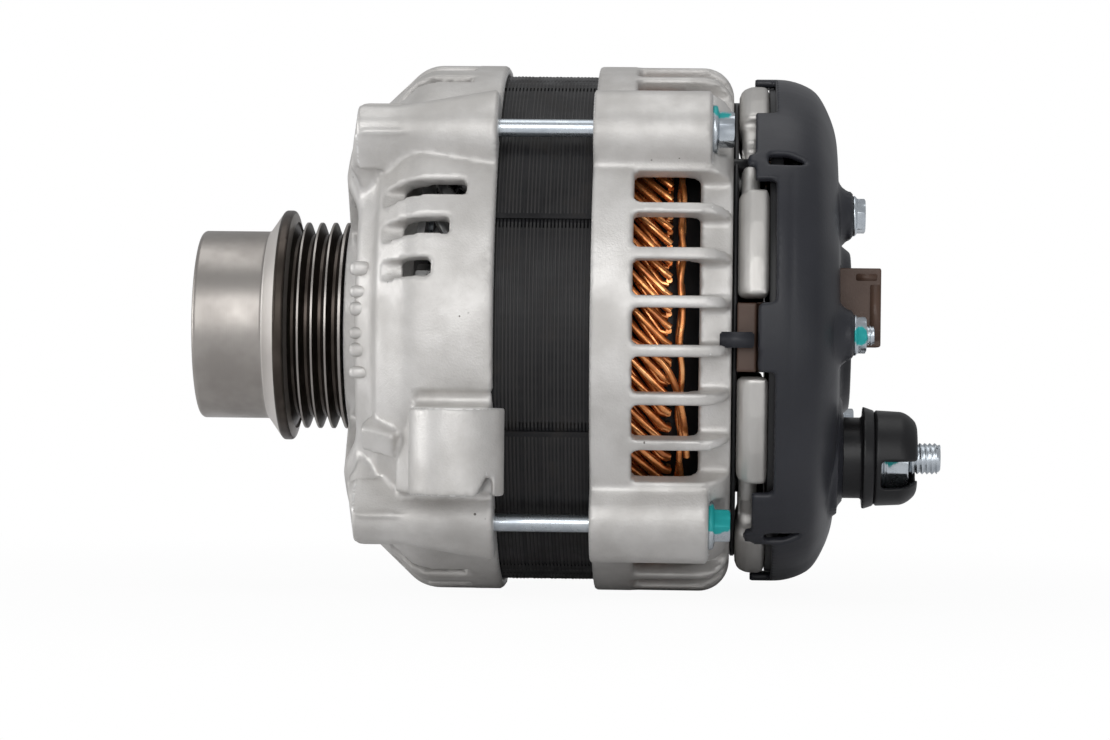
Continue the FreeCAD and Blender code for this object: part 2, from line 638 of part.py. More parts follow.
make_pulley_shell()
make_pulley_hub()
make_pulley_cap()
make_clutch()
ball_bearing("pulley_bearing", "pulley_bearing_front", "pulley_bearing_width",
             "(hub_diameter / 2 + seat_gap)", f"({PULLEY_BORE} - seat_gap)", "pulley_ball")


# Shaft line: shaft, slinger, the two shaft bearings

FRONT_BEARING_BACK = "(front_bearing_front + front_bearing_width)"
REAR_BEARING_BACK = "(rear_bearing_front + rear_bearing_width)"
POLE_BACK = "(stator_front + stator_back - pole_front)"


def make_shaft():
    body = new_body("rotor_shaft")
    turned(body, "rotor_shaft_turned", [
        ("shaft_front", "0"),
        ("shaft_front", "shaft_thread / 2 - 1"),
        ("shaft_front + 1", "shaft_thread / 2"),
        ("thread_back", "shaft_thread / 2"),
        ("thread_back", "shaft_diameter / 2"),
        (FRONT_BEARING_BACK, "shaft_diameter / 2"),
        (FRONT_BEARING_BACK, "shoulder_diameter / 2", "nose_edge / 2"),
        ("pole_front - fan_sheet", "shoulder_diameter / 2"),
        ("pole_front - fan_sheet", "rotor_seat / 2"),
        (f"{POLE_BACK} + fan_sheet", "rotor_seat / 2"),
        ("rear_bearing_front", "rotor_seat / 2"),
        ("rear_bearing_front", "shaft_diameter / 2"),
        (f"{REAR_BEARING_BACK} + nose_edge", "shaft_diameter / 2"),
        (f"{REAR_BEARING_BACK} + nose_edge", "slip_seat / 2"),
        ("shaft_back", "slip_seat / 2", "nose_edge / 2"),
        ("shaft_back", "0"),
    ])


def make_slinger():
    body = new_body("slinger")
    disc_back = f"{SLINGER_FRONT} + slinger_thickness"
    turned(body, "slinger_turned", [
        (SLINGER_FRONT, "shaft_diameter / 2 + seat_gap"),
        (SLINGER_FRONT, "slinger_diameter / 2", "slinger_thickness / 3"),
        (disc_back, "slinger_diameter / 2"),
        (disc_back, "slinger_sleeve / 2"),
        ("front_bearing_front", "slinger_sleeve / 2"),
        ("front_bearing_front", "shaft_diameter / 2 + seat_gap"),
    ])


make_shaft()
make_slinger()
ball_bearing("front_bearing", "front_bearing_front", "front_bearing_width",
             "(shaft_diameter / 2 + seat_gap / 2)", "(front_bearing_outside / 2)", "front_ball")
ball_bearing("rear_bearing", "rear_bearing_front", "rear_bearing_width",
             "(shaft_diameter / 2 + seat_gap / 2)", "(rear_bearing_outside / 2)", "rear_ball")
ring("rear_bearing_sleeve", "rear_bearing_front", REAR_BEARING_BACK,
     "rear_bearing_outside / 2 + seat_gap / 2", "rear_bearing_outside / 2 + sleeve_wall")


# Rotor: claw poles, coil, fans and slip rings

def make_claw_pole(name, front):
    """Half of the rotor: a disc with tapered claws that reach over the coil to the other half."""
    body = new_body(name)
    near = "pole_front" if front else POLE_BACK
    way = "+" if front else "-"
    middle = "(stator_front + stator_back) / 2"
    back = f"{near} {way} pole_disc"
    rim = "(pole_diameter / 2 - claw_depth)"
    turned(body, name + "_disc", [
        (near, "rotor_seat / 2 + seat_gap / 2"),
        (near, rim),
        (back, rim),
        (back, "pole_core / 2"),
        (middle, "pole_core / 2"),
        (middle, "rotor_seat / 2 + seat_gap / 2"),
    ])
    # A claw runs from its root on the disc rim to its tip, in width and in depth
    far = f"(stator_front + stator_back) - ({near}) {'-' if front else '+'} running_gap * 2"
    top = "pole_diameter / 2"
    sections = []
    for number, (place, width, depth) in enumerate((
            (back, "claw_root", "claw_depth"),
            (far, "claw_tip", "claw_tip_depth"))):
        sketch = new_sketch(body, f"{name}_claw_section_{number}", "YZ_Plane", place)
        turn_sketch(sketch, "0" if front else "180 / pole_count")
        outline(sketch, [
            (f"-{width} / 2", f"{top} - {depth}"),
            (f"-{width} * claw_crown", f"{top} - {width} * {width} / (8 * {top})"),
            (f"{width} * claw_crown", f"{top} - {width} * {width} / (8 * {top})"),
            (f"{width} / 2", f"{top} - {depth}"),
        ])
        sections.append(sketch)
    root = new_sketch(body, name + "_claw_root_outline", "YZ_Plane", near)
    turn_sketch(root, "0" if front else "180 / pole_count")
    outline(root, [
        ("-claw_root / 2", "claw_inside"),
        ("-claw_root / 2", f"{top} - claw_depth"),
        ("-claw_root * claw_crown", f"{top} - claw_root * claw_root / (8 * {top})"),
        ("claw_root * claw_crown", f"{top} - claw_root * claw_root / (8 * {top})"),
        ("claw_root / 2", f"{top} - claw_depth"),
        ("claw_root / 2", "claw_inside"),
    ])
    block = padded(body, name + "_claw_root", root, "pole_disc", reverse=not front)
    loft = body.newObject("PartDesign::AdditiveLoft", name + "_claw_reach")
    loft.Profile = sections[0]
    loft.Sections = sections[1:]
    loft.Ruled = True
    spread(body, name + "_claws", [block, loft], "pole_count")


make_claw_pole("claw_pole_front", True)
make_claw_pole("claw_pole_rear", False)

COIL_FRONT = "pole_front + pole_disc + running_gap / 2"
COIL_BACK = f"{POLE_BACK} - pole_disc - running_gap / 2"


def make_coil():
    body = new_body("coil_bobbin")
    core = "pole_core / 2 + seat_gap"
    turned(body, "coil_bobbin_turned", [
        (COIL_FRONT, core), (COIL_FRONT, "coil_diameter / 2"),
        (f"{COIL_FRONT} + bobbin_wall", "coil_diameter / 2"),
        (f"{COIL_FRONT} + bobbin_wall", f"{core} + bobbin_wall"),
        (f"{COIL_BACK} - bobbin_wall", f"{core} + bobbin_wall"),
        (f"{COIL_BACK} - bobbin_wall", "coil_diameter / 2"),
        (COIL_BACK, "coil_diameter / 2"), (COIL_BACK, core),
    ])
    ring("field_coil", f"{COIL_FRONT} + bobbin_wall", f"{COIL_BACK} - bobbin_wall",
         f"{core} + bobbin_wall", "coil_diameter / 2 - bobbin_wall / 2")


def make_fan(name, front):
    """A sheet disc with curved blades round its edge."""
    body = new_body(name)
    near = "pole_front - fan_sheet" if front else POLE_BACK
    blade = "front_blade" if front else "rear_blade"
    turned(body, name + "_disc", [
        (near, "rotor_seat / 2 + seat_gap / 2"), (near, "fan_diameter / 2 - claw_depth / 2"),
        (f"{near} + fan_sheet", "fan_diameter / 2 - claw_depth / 2"),
        (f"{near} + fan_sheet", "rotor_seat / 2 + seat_gap / 2"),
    ])
    place = f"{near} + fan_sheet / 2"
    sketch = new_sketch(body, name + "_blade_outline", "YZ_Plane", place)
    lean = "-1" if front else "1"
    tip = "fan_diameter / 2"
    outline(sketch, [
        (f"{lean} * fan_sheet / 2", "blade_root"),
        (f"{lean} * (fan_sheet + blade_bow)", f"(blade_root + {tip}) / 2"),
        (f"{lean} * (fan_sheet + blade_lean)", f"{tip} - fan_sheet"),
        (f"{lean} * blade_lean", f"{tip} - blade_tip_gap"),
        (f"{lean} * blade_bow", f"(blade_root + {tip}) / 2"),
        (f"{lean} * -fan_sheet / 2", "blade_root"),
    ])
    vane = padded(body, name + "_blade", sketch, f"{blade} + fan_sheet / 2", reverse=front)
    spread(body, name + "_blades", [vane], "blade_count")


make_coil()
make_fan("fan_front", True)
make_fan("fan_rear", False)

SLIP_BACK = "(slip_front + slip_width + slip_gap)"


def make_slip_rings():
    bore = "slip_diameter / 2 - slip_wall"
    body = new_body("slip_ring_sleeve")
    ends = f"{REAR_BEARING_BACK} + nose_edge"
    turned(body, "slip_ring_sleeve_turned", [
        (ends, "slip_seat / 2 + seat_gap / 2"),
        (ends, "slip_diameter / 2"),
        ("slip_front", "slip_diameter / 2"),
        ("slip_front", bore),
        ("slip_front + slip_width", bore),
        ("slip_front + slip_width", "slip_diameter / 2"),
        (SLIP_BACK, "slip_diameter / 2"),
        (SLIP_BACK, bore),
        (f"{SLIP_BACK} + slip_width", bore),
        (f"{SLIP_BACK} + slip_width", "slip_diameter / 2"),
        (f"{SLIP_BACK} + slip_width + slip_gap", "slip_diameter / 2"),
        (f"{SLIP_BACK} + slip_width + slip_gap", "slip_seat / 2 + seat_gap / 2"),
    ])
    ring("slip_ring_front", "slip_front", "slip_front + slip_width", bore, "slip_diameter / 2")
    ring("slip_ring_rear", SLIP_BACK, f"{SLIP_BACK} + slip_width", bore, "slip_diameter / 2")


make_slip_rings()


# Housings

# Cover studs: name, place across, height, tip
STUDS = (
    ("upper", "-stud_upper_y", "stud_upper_z", "stud_upper_tip"),
    ("middle", "-stud_middle_y", "-stud_middle_z", "stud_middle_tip"),
    ("far", "stud_far_y", "-stud_far_z", "stud_upper_tip"),
)

HOUSING_RADIUS = "(housing_diameter / 2)"
INNER_RADIUS = "(housing_diameter / 2 - housing_wall)"
REGISTER = "(stator_diameter / 2 + seat_gap)"


def boss_outline(body, name, place, radius):
    """The section of a through-bolt boss on the diagonal, flared towards the wall."""
    sketch = new_sketch(body, name + "_outline", "YZ_Plane", place)
    turn_sketch(sketch, "45")
    top = f"bolt_circle / 2 + {radius}"
    root = "stator_diameter / 2 - housing_wall"
    outline(sketch, [
        (f"-boss_flare * {radius}", root),
        (f"-{radius} * boss_crown", top, radius),
        (f"{radius} * boss_crown", top, radius),
        (f"boss_flare * {radius}", root),
    ])
    return sketch


def bolt_bosses(body, name, front, back, radius):
    """Four through-bolt bosses on the diagonals."""
    sketch = boss_outline(body, name, front, radius)
    boss = padded(body, name, sketch, f"{back} - ({front})")
    spread(body, name + "_set", [boss], "4")


def flared_bosses(body, name, front, back):
    """Four bosses that widen from the front boss section to that of the rear housing."""
    narrow = boss_outline(body, name + "_narrow", front, "front_boss")
    wide = boss_outline(body, name + "_wide", back, "rear_boss")
    feature = body.newObject("PartDesign::AdditiveLoft", name)
    feature.Refine = False
    feature.Profile = narrow
    feature.Sections = [wide]
    feature.Ruled = True
    spread(body, name + "_set", [feature], "4")


def bolt_holes(body, name, front, back):
    """Holes of the through bolts."""
    sketch = new_sketch(body, name + "_outline", "YZ_Plane", front)
    turn_sketch(sketch, "45")
    circle(sketch, "0", "bolt_circle / 2", "bolt_diameter / 2 + fastener_gap")
    hole = pocketed(body, name, sketch, f"{back} - ({front})", reverse=True)
    spread(body, name + "_set", [hole], "4")


def stud_circles(body, name, place, radius):
    """One circle on the line of each cover stud."""
    sketch = new_sketch(body, name + "_outline", "YZ_Plane", place)
    for stud, across, up, tip in STUDS:
        circle(sketch, across, up, radius, stud)
    return sketch


def ring_windows(body, name, front, back, inner, outer, rib, count):
    """Air windows in an end wall, with straight ribs of even thickness between them."""
    sketch = new_sketch(body, name + "_outline", "YZ_Plane", front)
    low = f"({inner}) * tan(180 / {count}) - {rib} / 2"
    high = f"({outer}) * tan(180 / {count}) - {rib} / 2"
    outline(sketch, [
        (f"-({low})", inner), (f"-({high})", outer), (high, outer), (low, inner),
    ])
    window = pocketed(body, name, sketch, f"{back} - ({front})", reverse=True)
    spread(body, name + "_set", [window], count)


def make_front_housing():
    body = new_body("front_housing")
    turned(body, "front_blank", [
        ("boss_front", "0"),
        ("boss_front", "front_bearing_outside / 2 + hub_wall", "rim_edge"),
        ("front_face", "front_bearing_outside / 2 + hub_wall + rim_edge"),
        ("front_face", "front_face_radius", "face_rounding"),
        ("shoulder_back", HOUSING_RADIUS, "2 * hub_wall"),
        ("front_rim", HOUSING_RADIUS, "rim_edge"),
        ("front_rim", "0"),
    ])
    bolt_bosses(body, "front_boss", "bolt_boss_front", "front_rim", "front_boss")
    flared_bosses(body, "boss_flare", "shoulder_back - rear_boss / 2", "front_rim")
    # Arms run from the air windows over the shoulder to the bolt bosses
    arm = radial_pad(body, "front_arm", "45", [
        ("front_face", "intake_outer"),
        ("bolt_boss_front", "bolt_circle / 2 + arm_rise", "arm_rise"),
        ("shoulder_back", "bolt_circle / 2 + arm_rise"),
        ("shoulder_back", INNER_RADIUS + " + rim_edge"),
        ("front_face + front_floor", "front_face_radius - housing_wall / 2"),
    ], "arm_width")
    spread(body, "front_arms", [arm], "4")
    # Lug on the near side and the web that carries it, mirrored to the far side
    eye = new_sketch(body, "lug_outline", "XY_Plane", "lug_bottom")
    circle(eye, "lug_x", "-lug_y", "lug_diameter / 2")
    lug = padded(body, "lug", eye, "lug_top - lug_bottom")
    web = new_sketch(body, "lug_web_outline", "XY_Plane", "lug_bottom")
    outline(web, [
        ("lug_x - lug_diameter / 2", "-lug_y"),
        ("front_rim", "-lug_y"),
        ("front_rim", "-lug_web_inside"),
        ("lug_x - lug_diameter / 2", "-lug_web_inside"),
    ])
    carrier = padded(body, "lug_web", web, "lug_top - lug_bottom")
    rib = new_sketch(body, "lug_rib_outline", "XY_Plane", "lug_bottom")
    outline(rib, [
        ("nub_back", "-lug_web_inside"),
        ("nub_back", "-lug_rib_root"),
        ("lug_x - lug_diameter / 2 + rim_edge", "-lug_rib_reach", "front_boss"),
        ("lug_x", "-lug_rib_reach - rim_edge"),
        ("lug_x", "-lug_web_inside"),
    ])
    gusset = padded(body, "lug_rib", rib, "lug_top - lug_bottom - rim_edge")
    nub = radial_pad(body, "casting_nub", "nub_angle", [
        ("nub_front", "front_face_radius + housing_wall"),
        ("nub_front", "nub_front_radius", "rim_edge"),
        ("nub_back", "nub_back_radius", "rim_edge"),
        ("nub_back", INNER_RADIUS),
    ], "nub_width")
    mirror(body, "far_lug", [lug, carrier, gusset, nub], "XZ_Plane")
    # The inside: bearing seat, bell and stator register
    floor = "(front_face + front_floor)"
    hub = "front_bearing_outside / 2 + hub_wall"
    turned(body, "front_inside", [
        ("boss_front - 1", "0"),
        ("boss_front - 1", "slinger_diameter / 2 + running_gap"),
        (f"{SLINGER_FRONT} + slinger_thickness + running_gap",
         "slinger_diameter / 2 + running_gap"),
        (f"{SLINGER_FRONT} + slinger_thickness + running_gap",
         "slinger_sleeve / 2 + running_gap"),
        ("front_bearing_front - seat_gap", "slinger_sleeve / 2 + running_gap"),
        ("front_bearing_front - seat_gap", "front_bearing_outside / 2 + seat_gap"),
        (FRONT_BEARING_BACK, "front_bearing_outside / 2 + seat_gap"),
        (FRONT_BEARING_BACK, hub),
        (floor, hub),
        (floor, "front_face_radius - housing_wall / 2", "face_rounding / 2"),
        ("shoulder_back + housing_wall / 2", INNER_RADIUS, "2 * hub_wall"),
        ("stator_front", INNER_RADIUS),
        ("stator_front", REGISTER),
        ("front_rim + 1", REGISTER),
        ("front_rim + 1", "0"),
    ], cut=True)
    # Milled steps in the wall over both lugs, where the bolt heads sit
    step = new_sketch(body, "lug_seat_outline", "XY_Plane", "lug_top")
    outline(step, [
        ("lug_x - lug_diameter / 2", "-lug_y"),
        ("front_rim + 1", "-lug_y"),
        ("front_rim + 1", "-lug_seat_inside"),
        ("lug_x - lug_diameter / 2", "-lug_seat_inside"),
    ])
    seat = pocketed(body, "lug_seat", step, "lug_seat_height", reverse=True)
    mirror(body, "far_lug_seat", [seat], "XZ_Plane")
    # The lower rear corner of the web is cut off at a slant
    slant = new_sketch(body, "web_slant_outline", "XZ_Plane", "lug_slant_inside")
    outline(slant, [
        ("front_rim - lug_slant_width", "lug_bottom - 1"),
        ("front_rim - lug_slant_width", "lug_bottom"),
        ("front_rim", "lug_bottom + lug_slant_height"),
        ("front_rim + 1", "lug_bottom + lug_slant_height"),
        ("front_rim + 1", "lug_bottom - 1"),
    ])
    corner = pocketed(body, "web_slant", slant, "lug_y", reverse=True)
    mirror(body, "far_web_slant", [corner], "XZ_Plane")
    bore = new_sketch(body, "lug_bore_outline", "XY_Plane", "lug_bottom - 1")
    circle(bore, "lug_x", "-lug_y", "lug_bore / 2", "near")
    circle(bore, "lug_x", "lug_y", "lug_bore / 2", "far")
    pocketed(body, "lug_bores", bore, "lug_top - lug_bottom + 2", reverse=True)
    # The holes of the through bolts open in the front faces of the bosses
    bolt_holes(body, "front_bolt_hole", "bolt_boss_front - front_boss", "front_rim + 1")
    screws = new_sketch(body, "retainer_tap_outline", "YZ_Plane", "front_bearing_front")
    circle(screws, "0", "retainer_circle / 2", "retainer_screw / 2 + seat_gap")
    tap = pocketed(body, "retainer_tap", screws, "front_bearing_width + 1", reverse=True)
    spread(body, "retainer_taps", [tap], "retainer_screws")
    ring_windows(body, "intake", "boss_front - 1", f"{floor} + rim_edge", "intake_inner",
                 "intake_outer", "intake_rib", "intake_count")
    front_slots(body)


def radial_sketch(body, name, angle, profile):
    """A sketch in a plane through the shaft axis, at an angle above the near side.

    Its profile gives places along the axis, and radii.
    """
    sketch = new_sketch(body, name + "_outline", "XZ_Plane")
    sketch.setExpression("AttachmentOffset.Rotation.Axis.x", "1")
    sketch.setExpression("AttachmentOffset.Rotation.Axis.z", "0")
    sketch.setExpression("AttachmentOffset.Rotation.Angle", link(f"90 - ({angle})"))
    outline(sketch, profile)
    return sketch


def radial_cut(body, name, angle, profile, height):
    """A cut of even height from outside towards the shaft."""
    return pocketed(body, name, radial_sketch(body, name, angle, profile), height, both=True)


def radial_pad(body, name, angle, profile, width):
    """A rib of even width that stands out from the shaft."""
    return padded(body, name, radial_sketch(body, name, angle, profile), width, both=True)


def tangent_sketch(body, name, angle, radius, corners):
    """A sketch on a plane that lies against the round outside, at an angle above the near side."""
    sketch = new_sketch(body, name + "_outline", "XZ_Plane")
    sketch.setExpression("AttachmentOffset.Base.y", link(f"({radius}) * sin({angle})"))
    sketch.setExpression("AttachmentOffset.Base.z", link(f"({radius}) * cos({angle})"))
    sketch.setExpression("AttachmentOffset.Rotation.Axis.x", "1")
    sketch.setExpression("AttachmentOffset.Rotation.Axis.z", "0")
    sketch.setExpression("AttachmentOffset.Rotation.Angle", link(f"-({angle})"))
    outline(sketch, corners)
    return sketch


def mirror(body, name, originals, role):
    feature = body.newObject("PartDesign::Mirrored", name)
    feature.Refine = False
    feature.Originals = originals
    feature.MirrorPlane = (origin_feature(body, role), [""])
    body.Tip = feature
    return feature


def mirror_and_repeat(body, name, originals):
    """Copies features to the other side of the shaft and to the opposite sector."""
    across = body.newObject("PartDesign::Mirrored", name + "_across")
    across.MirrorPlane = (origin_feature(body, "XZ_Plane"), [""])
    opposite = body.newObject("PartDesign::PolarPattern", name + "_opposite")
    opposite.Axis = (origin_feature(body, "X_Axis"), [""])
    opposite.Angle = 360.0
    opposite.Occurrences = 2
    feature = body.newObject("PartDesign::MultiTransform", name)
    feature.Refine = False
    feature.Originals = originals
    feature.Transformations = [across, opposite]
    body.Tip = feature


def front_slot(body, name, angle, front, back):
    """A side slot with the recess that runs forward from it over the shoulder."""
    above = "(bolt_circle / 2)"
    return radial_cut(body, name, angle, [
        ("boss_front", above), ("boss_front", "front_recess_radius"),
        (front, "front_recess_radius"), (front, "stator_bore / 2"),
        (back, "stator_bore / 2"), (back, above),
    ], "front_slot")


def front_slots(body):
    """Three side slots above each lug, and six over the top and over the bottom."""
    cuts = []
    for name, steps in (("low", 0), ("middle", 1), ("high", 2)):
        angle = f"front_slot_low + {steps} * front_slot_pitch"
        cuts.append(front_slot(body, f"side_slot_{name}", angle, "side_slot_front",
                               f"side_slot_{name}_back"))
    mirror(body, "far_side_slots", cuts, "XZ_Plane")
    cuts = []
    for number in range(3):
        angle = f"90 - ({number} + 0.5) * front_slot_pitch"
        cuts.append(front_slot(body, f"top_slot_{number}", angle, "top_slot_front",
                               "top_slot_back"))
    mirror_and_repeat(body, "top_and_bottom_slots", cuts)


make_front_housing()


def make_rear_housing():
    body = new_body("rear_housing")
    turned(body, "rear_blank", [
        ("rear_rim", "0"),
        ("rear_rim", HOUSING_RADIUS, "rim_edge"),
        ("rear_end", HOUSING_RADIUS, "rear_edge"),
        ("rear_end", "0"),
    ])
    bolt_bosses(body, "rear_boss", "rear_rim", "bolt_seat", "rear_boss")
    seat = "(rear_bearing_outside / 2 + sleeve_wall + seat_gap)"
    hub = f"{seat} + rear_hub_wall"
    floor_back = "(rear_floor_front + rear_floor)"
    stop = f"({REAR_BEARING_BACK} + running_gap)"
    turned(body, "rear_inside", [
        ("rear_rim - 1", "0"),
        ("rear_rim - 1", REGISTER),
        ("stator_back", REGISTER),
        ("stator_back", INNER_RADIUS),
        ("rear_floor_front", INNER_RADIUS, "face_rounding / 2"),
        ("rear_floor_front", hub),
        ("rear_bearing_front - seat_gap", hub),
        ("rear_bearing_front - seat_gap", seat),
        (stop, seat),
        (stop, "rear_bearing_outside / 2 - sleeve_wall"),
        ("rear_end + 1", "rear_bearing_outside / 2 - sleeve_wall"),
        ("rear_end + 1", "0"),
    ], cut=True)
    turned(body, "rear_recess", [
        (floor_back, hub),
        (floor_back, "window_floor_radius - housing_wall"),
        ("rear_end + 1", "window_floor_radius - housing_wall"),
        ("rear_end + 1", hub),
    ], cut=True)
    bolt_holes(body, "rear_bolt_hole", "rear_rim - 1", "bolt_seat + 1")
    face = new_sketch(body, "bolt_face_outline", "YZ_Plane", "bolt_seat")
    turn_sketch(face, "45")
    circle(face, "0", "bolt_circle / 2", "bolt_flange / 2 + fastener_gap * 2")
    spot = pocketed(body, "bolt_face", face, "rear_end - bolt_seat + 1", reverse=True)
    spread(body, "bolt_faces", [spot], "4")
    ring_windows(body, "outlet", "rear_floor_front - 1", f"{floor_back} + 1", "outlet_inner",
                 "outlet_outer", "outlet_rib", "outlet_count")
    lead = new_sketch(body, "lead_hole_outline", "YZ_Plane", "rear_floor_front - 1")
    turn_sketch(lead, "lead_angle")
    circle(lead, "0", "lead_circle / 2", "lead_diameter / 2 + fastener_gap * 2")
    hole = pocketed(body, "lead_hole", lead, "rear_end - rear_floor_front + 2", reverse=True)
    spread(body, "lead_holes", [hole], "3", "90")
    rear_windows(body)
    # Bosses for the cover studs, on the ribs and the rim of the rear wall
    feet = stud_circles(body, "stud_foot", "rear_floor_front", "stud_diameter")
    padded(body, "stud_feet", feet, "rear_end - rear_floor_front")
    threads = stud_circles(body, "stud_thread", "stud_front", "stud_diameter / 2 + seat_gap / 2")
    pocketed(body, "stud_threads", threads, "rear_end - stud_front + 1", reverse=True)


def rear_windows(body):
    """Side windows between the bosses; their ribs run on to the rear edge over a recess."""
    above = "(bolt_circle / 2)"
    profile = [
        ("window_front", above), ("window_front", "stator_bore / 2"),
        ("rear_floor_front", "stator_bore / 2"), ("rear_floor_front", "window_floor_radius"),
        ("rear_end + 1", "window_floor_radius"), ("rear_end + 1", above),
    ]
    width = f"{HOUSING_RADIUS} * window_pitch * pi / 180 - window_rib"
    for name, middle, count in (("side", "0", "side_windows"), ("top", "90", "top_windows")):
        span = f"({count} - 1) * window_pitch"
        cut = radial_cut(body, f"{name}_window", f"{middle} + {span} / 2", profile, width)
        along = body.newObject("PartDesign::PolarPattern", f"{name}_window_row")
        along.Axis = (origin_feature(body, "X_Axis"), [""])
        along.setExpression("Angle", link(span))
        along.setExpression("Occurrences", link(count))
        opposite = body.newObject("PartDesign::PolarPattern", f"{name}_window_opposite")
        opposite.Axis = (origin_feature(body, "X_Axis"), [""])
        opposite.Angle = 360.0
        opposite.Occurrences = 2
        feature = body.newObject("PartDesign::MultiTransform", f"{name}_windows_all")
        feature.Refine = False
        feature.Originals = [cut]
        feature.Transformations = [along, opposite]
        body.Tip = feature


make_rear_housing()


# Stator

def make_stator():
    body = new_body("stator_core")
    turned(body, "core_blank", [
        ("stator_front", "stator_bore / 2"), ("stator_front", "stator_diameter / 2"),
        ("stator_back", "stator_diameter / 2"), ("stator_back", "stator_bore / 2"),
    ])
    slot = new_sketch(body, "core_slot_outline", "YZ_Plane", "stator_front - 1")
    outline(slot, [
        ("-slot_width / 4", "stator_bore / 2 - 1"),
        ("-slot_width / 4", "stator_bore / 2 + 1"),
        ("-slot_width / 2", "stator_bore / 2 + 1"),
        ("-slot_width / 2", "stator_bore / 2 + slot_depth"),
        ("slot_width / 2", "stator_bore / 2 + slot_depth"),
        ("slot_width / 2", "stator_bore / 2 + 1"),
        ("slot_width / 4", "stator_bore / 2 + 1"),
        ("slot_width / 4", "stator_bore / 2 - 1"),
    ])
    cut = pocketed(body, "core_slot", slot, "stator_back - stator_front + 2", reverse=True)
    spread(body, "core_slots", [cut], "slot_count")
    weld = new_sketch(body, "weld_groove_outline", "YZ_Plane", "stator_front - 1")
    turn_sketch(weld, "180 / weld_count")
    outline(weld, [
        ("-weld_width / 2", "stator_diameter / 2 + 1"),
        ("-weld_width / 2", "stator_diameter / 2 - weld_depth"),
        ("weld_width / 2", "stator_diameter / 2 - weld_depth"),
        ("weld_width / 2", "stator_diameter / 2 + 1"),
    ])
    groove = pocketed(body, "weld_groove", weld, "stator_back - stator_front + 2", reverse=True)
    spread(body, "weld_grooves", [groove], "weld_count")


def make_windings():
    """Winding heads on both sides; the bars in the slots belong to the rear ones."""
    body = new_body("winding_front")
    turned(body, "winding_front_heads", [
        ("stator_front", "head_inner"),
        ("head_front", "head_inner", "head_rounding"),
        ("head_front", "head_outer", "head_rounding"),
        ("stator_front", "head_outer"),
    ])
    body = new_body("winding_rear")
    turned(body, "winding_rear_heads", [
        ("stator_back", "head_inner"), ("stator_back", "head_outer"),
        ("head_back", "head_outer", "head_rounding"),
        ("head_back", "head_inner", "head_rounding"),
    ])
    bar = new_sketch(body, "slot_bar_outline", "YZ_Plane", "stator_front")
    half = "(slot_width / 2 - liner)"
    outline(bar, [
        (f"-{half}", "stator_bore / 2 + 1 + liner"),
        (f"-{half}", "stator_bore / 2 + slot_depth - liner"),
        (half, "stator_bore / 2 + slot_depth - liner"),
        (half, "stator_bore / 2 + 1 + liner"),
    ])
    rod = padded(body, "slot_bar", bar, "stator_back - stator_front + weld_width")
    spread(body, "slot_bars", [rod], "slot_count")


def hexagon(sketch, across, up, flats, tag="hex"):
    """A hexagon with two flats level; its centre and size are expressions."""
    corner = f"({flats}) / (2 * cos(30))"
    places = []
    for number in range(6):
        angle = 60 * number
        places.append((f"{across} + {corner} * cos({angle})", f"{up} + {corner} * sin({angle})"))
    outline(sketch, places, tag)


def make_through_bolts():
    """Four screws that hold the housings together over the stator core."""
    body = new_body("through_bolts", several=True)
    shank = new_sketch(body, "bolt_shank_outline", "YZ_Plane", "bolt_boss_front + seat_gap")
    turn_sketch(shank, "45")
    circle(shank, "0", "bolt_circle / 2", "bolt_diameter / 2")
    rod = padded(body, "bolt_shank", shank, "bolt_seat - bolt_boss_front - seat_gap")
    flange = new_sketch(body, "bolt_flange_outline", "YZ_Plane", "bolt_seat")
    turn_sketch(flange, "45")
    circle(flange, "0", "bolt_circle / 2", "bolt_flange / 2")
    disc = padded(body, "bolt_flange_disc", flange, "bolt_flange_height")
    head = new_sketch(body, "bolt_head_outline", "YZ_Plane", "bolt_seat")
    turn_sketch(head, "45")
    hexagon(head, "0", "bolt_circle / 2", "bolt_hex")
    hexa = padded(body, "bolt_head_hexagon", head, "bolt_head")
    spread(body, "bolt_set", [rod, disc, hexa], "4")


def make_retainer():
    """Plate that holds the front bearing in its seat, and its countersunk screws."""
    plate_back = f"{FRONT_BEARING_BACK} + retainer_thickness"
    outer = "retainer_circle / 2 + retainer_screw"
    body = new_body("bearing_retainer")
    turned(body, "retainer_plate", [
        (FRONT_BEARING_BACK, "retainer_bore / 2"), (FRONT_BEARING_BACK, outer),
        (plate_back, outer), (plate_back, "retainer_bore / 2"),
    ])
    holes = new_sketch(body, "retainer_hole_outline", "YZ_Plane", FRONT_BEARING_BACK)
    circle(holes, "0", "retainer_circle / 2", "retainer_screw / 2 + seat_gap * 2")
    hole = pocketed(body, "retainer_hole", holes, "retainer_thickness", reverse=True)
    spread(body, "retainer_holes", [hole], "retainer_screws")
    body = new_body("retainer_screws", several=True)
    body.Label = "retainer_screw_set"
    shank = new_sketch(body, "retainer_screw_outline", "YZ_Plane", "front_bearing_front + 1")
    circle(shank, "0", "retainer_circle / 2", "retainer_screw / 2")
    rod = padded(body, "retainer_screw_shank", shank,
                 "front_bearing_width + retainer_thickness - 1")
    head = new_sketch(body, "retainer_head_outline", "YZ_Plane", plate_back)
    circle(head, "0", "retainer_circle / 2", "retainer_head")
    cap = padded(body, "retainer_screw_head", head, "retainer_thickness")
    spread(body, "retainer_screw_ring", [rod, cap], "retainer_screws")


make_stator()
make_windings()
make_through_bolts()
make_retainer()


# Rectifier behind the rear housing

NEGATIVE_BACK = "(sink_plate_front + sink_plate)"
POSITIVE_BACK = "(positive_front + sink_plate)"
DIODE_ANGLES = (0, 28, 56, 84, 110, 290)


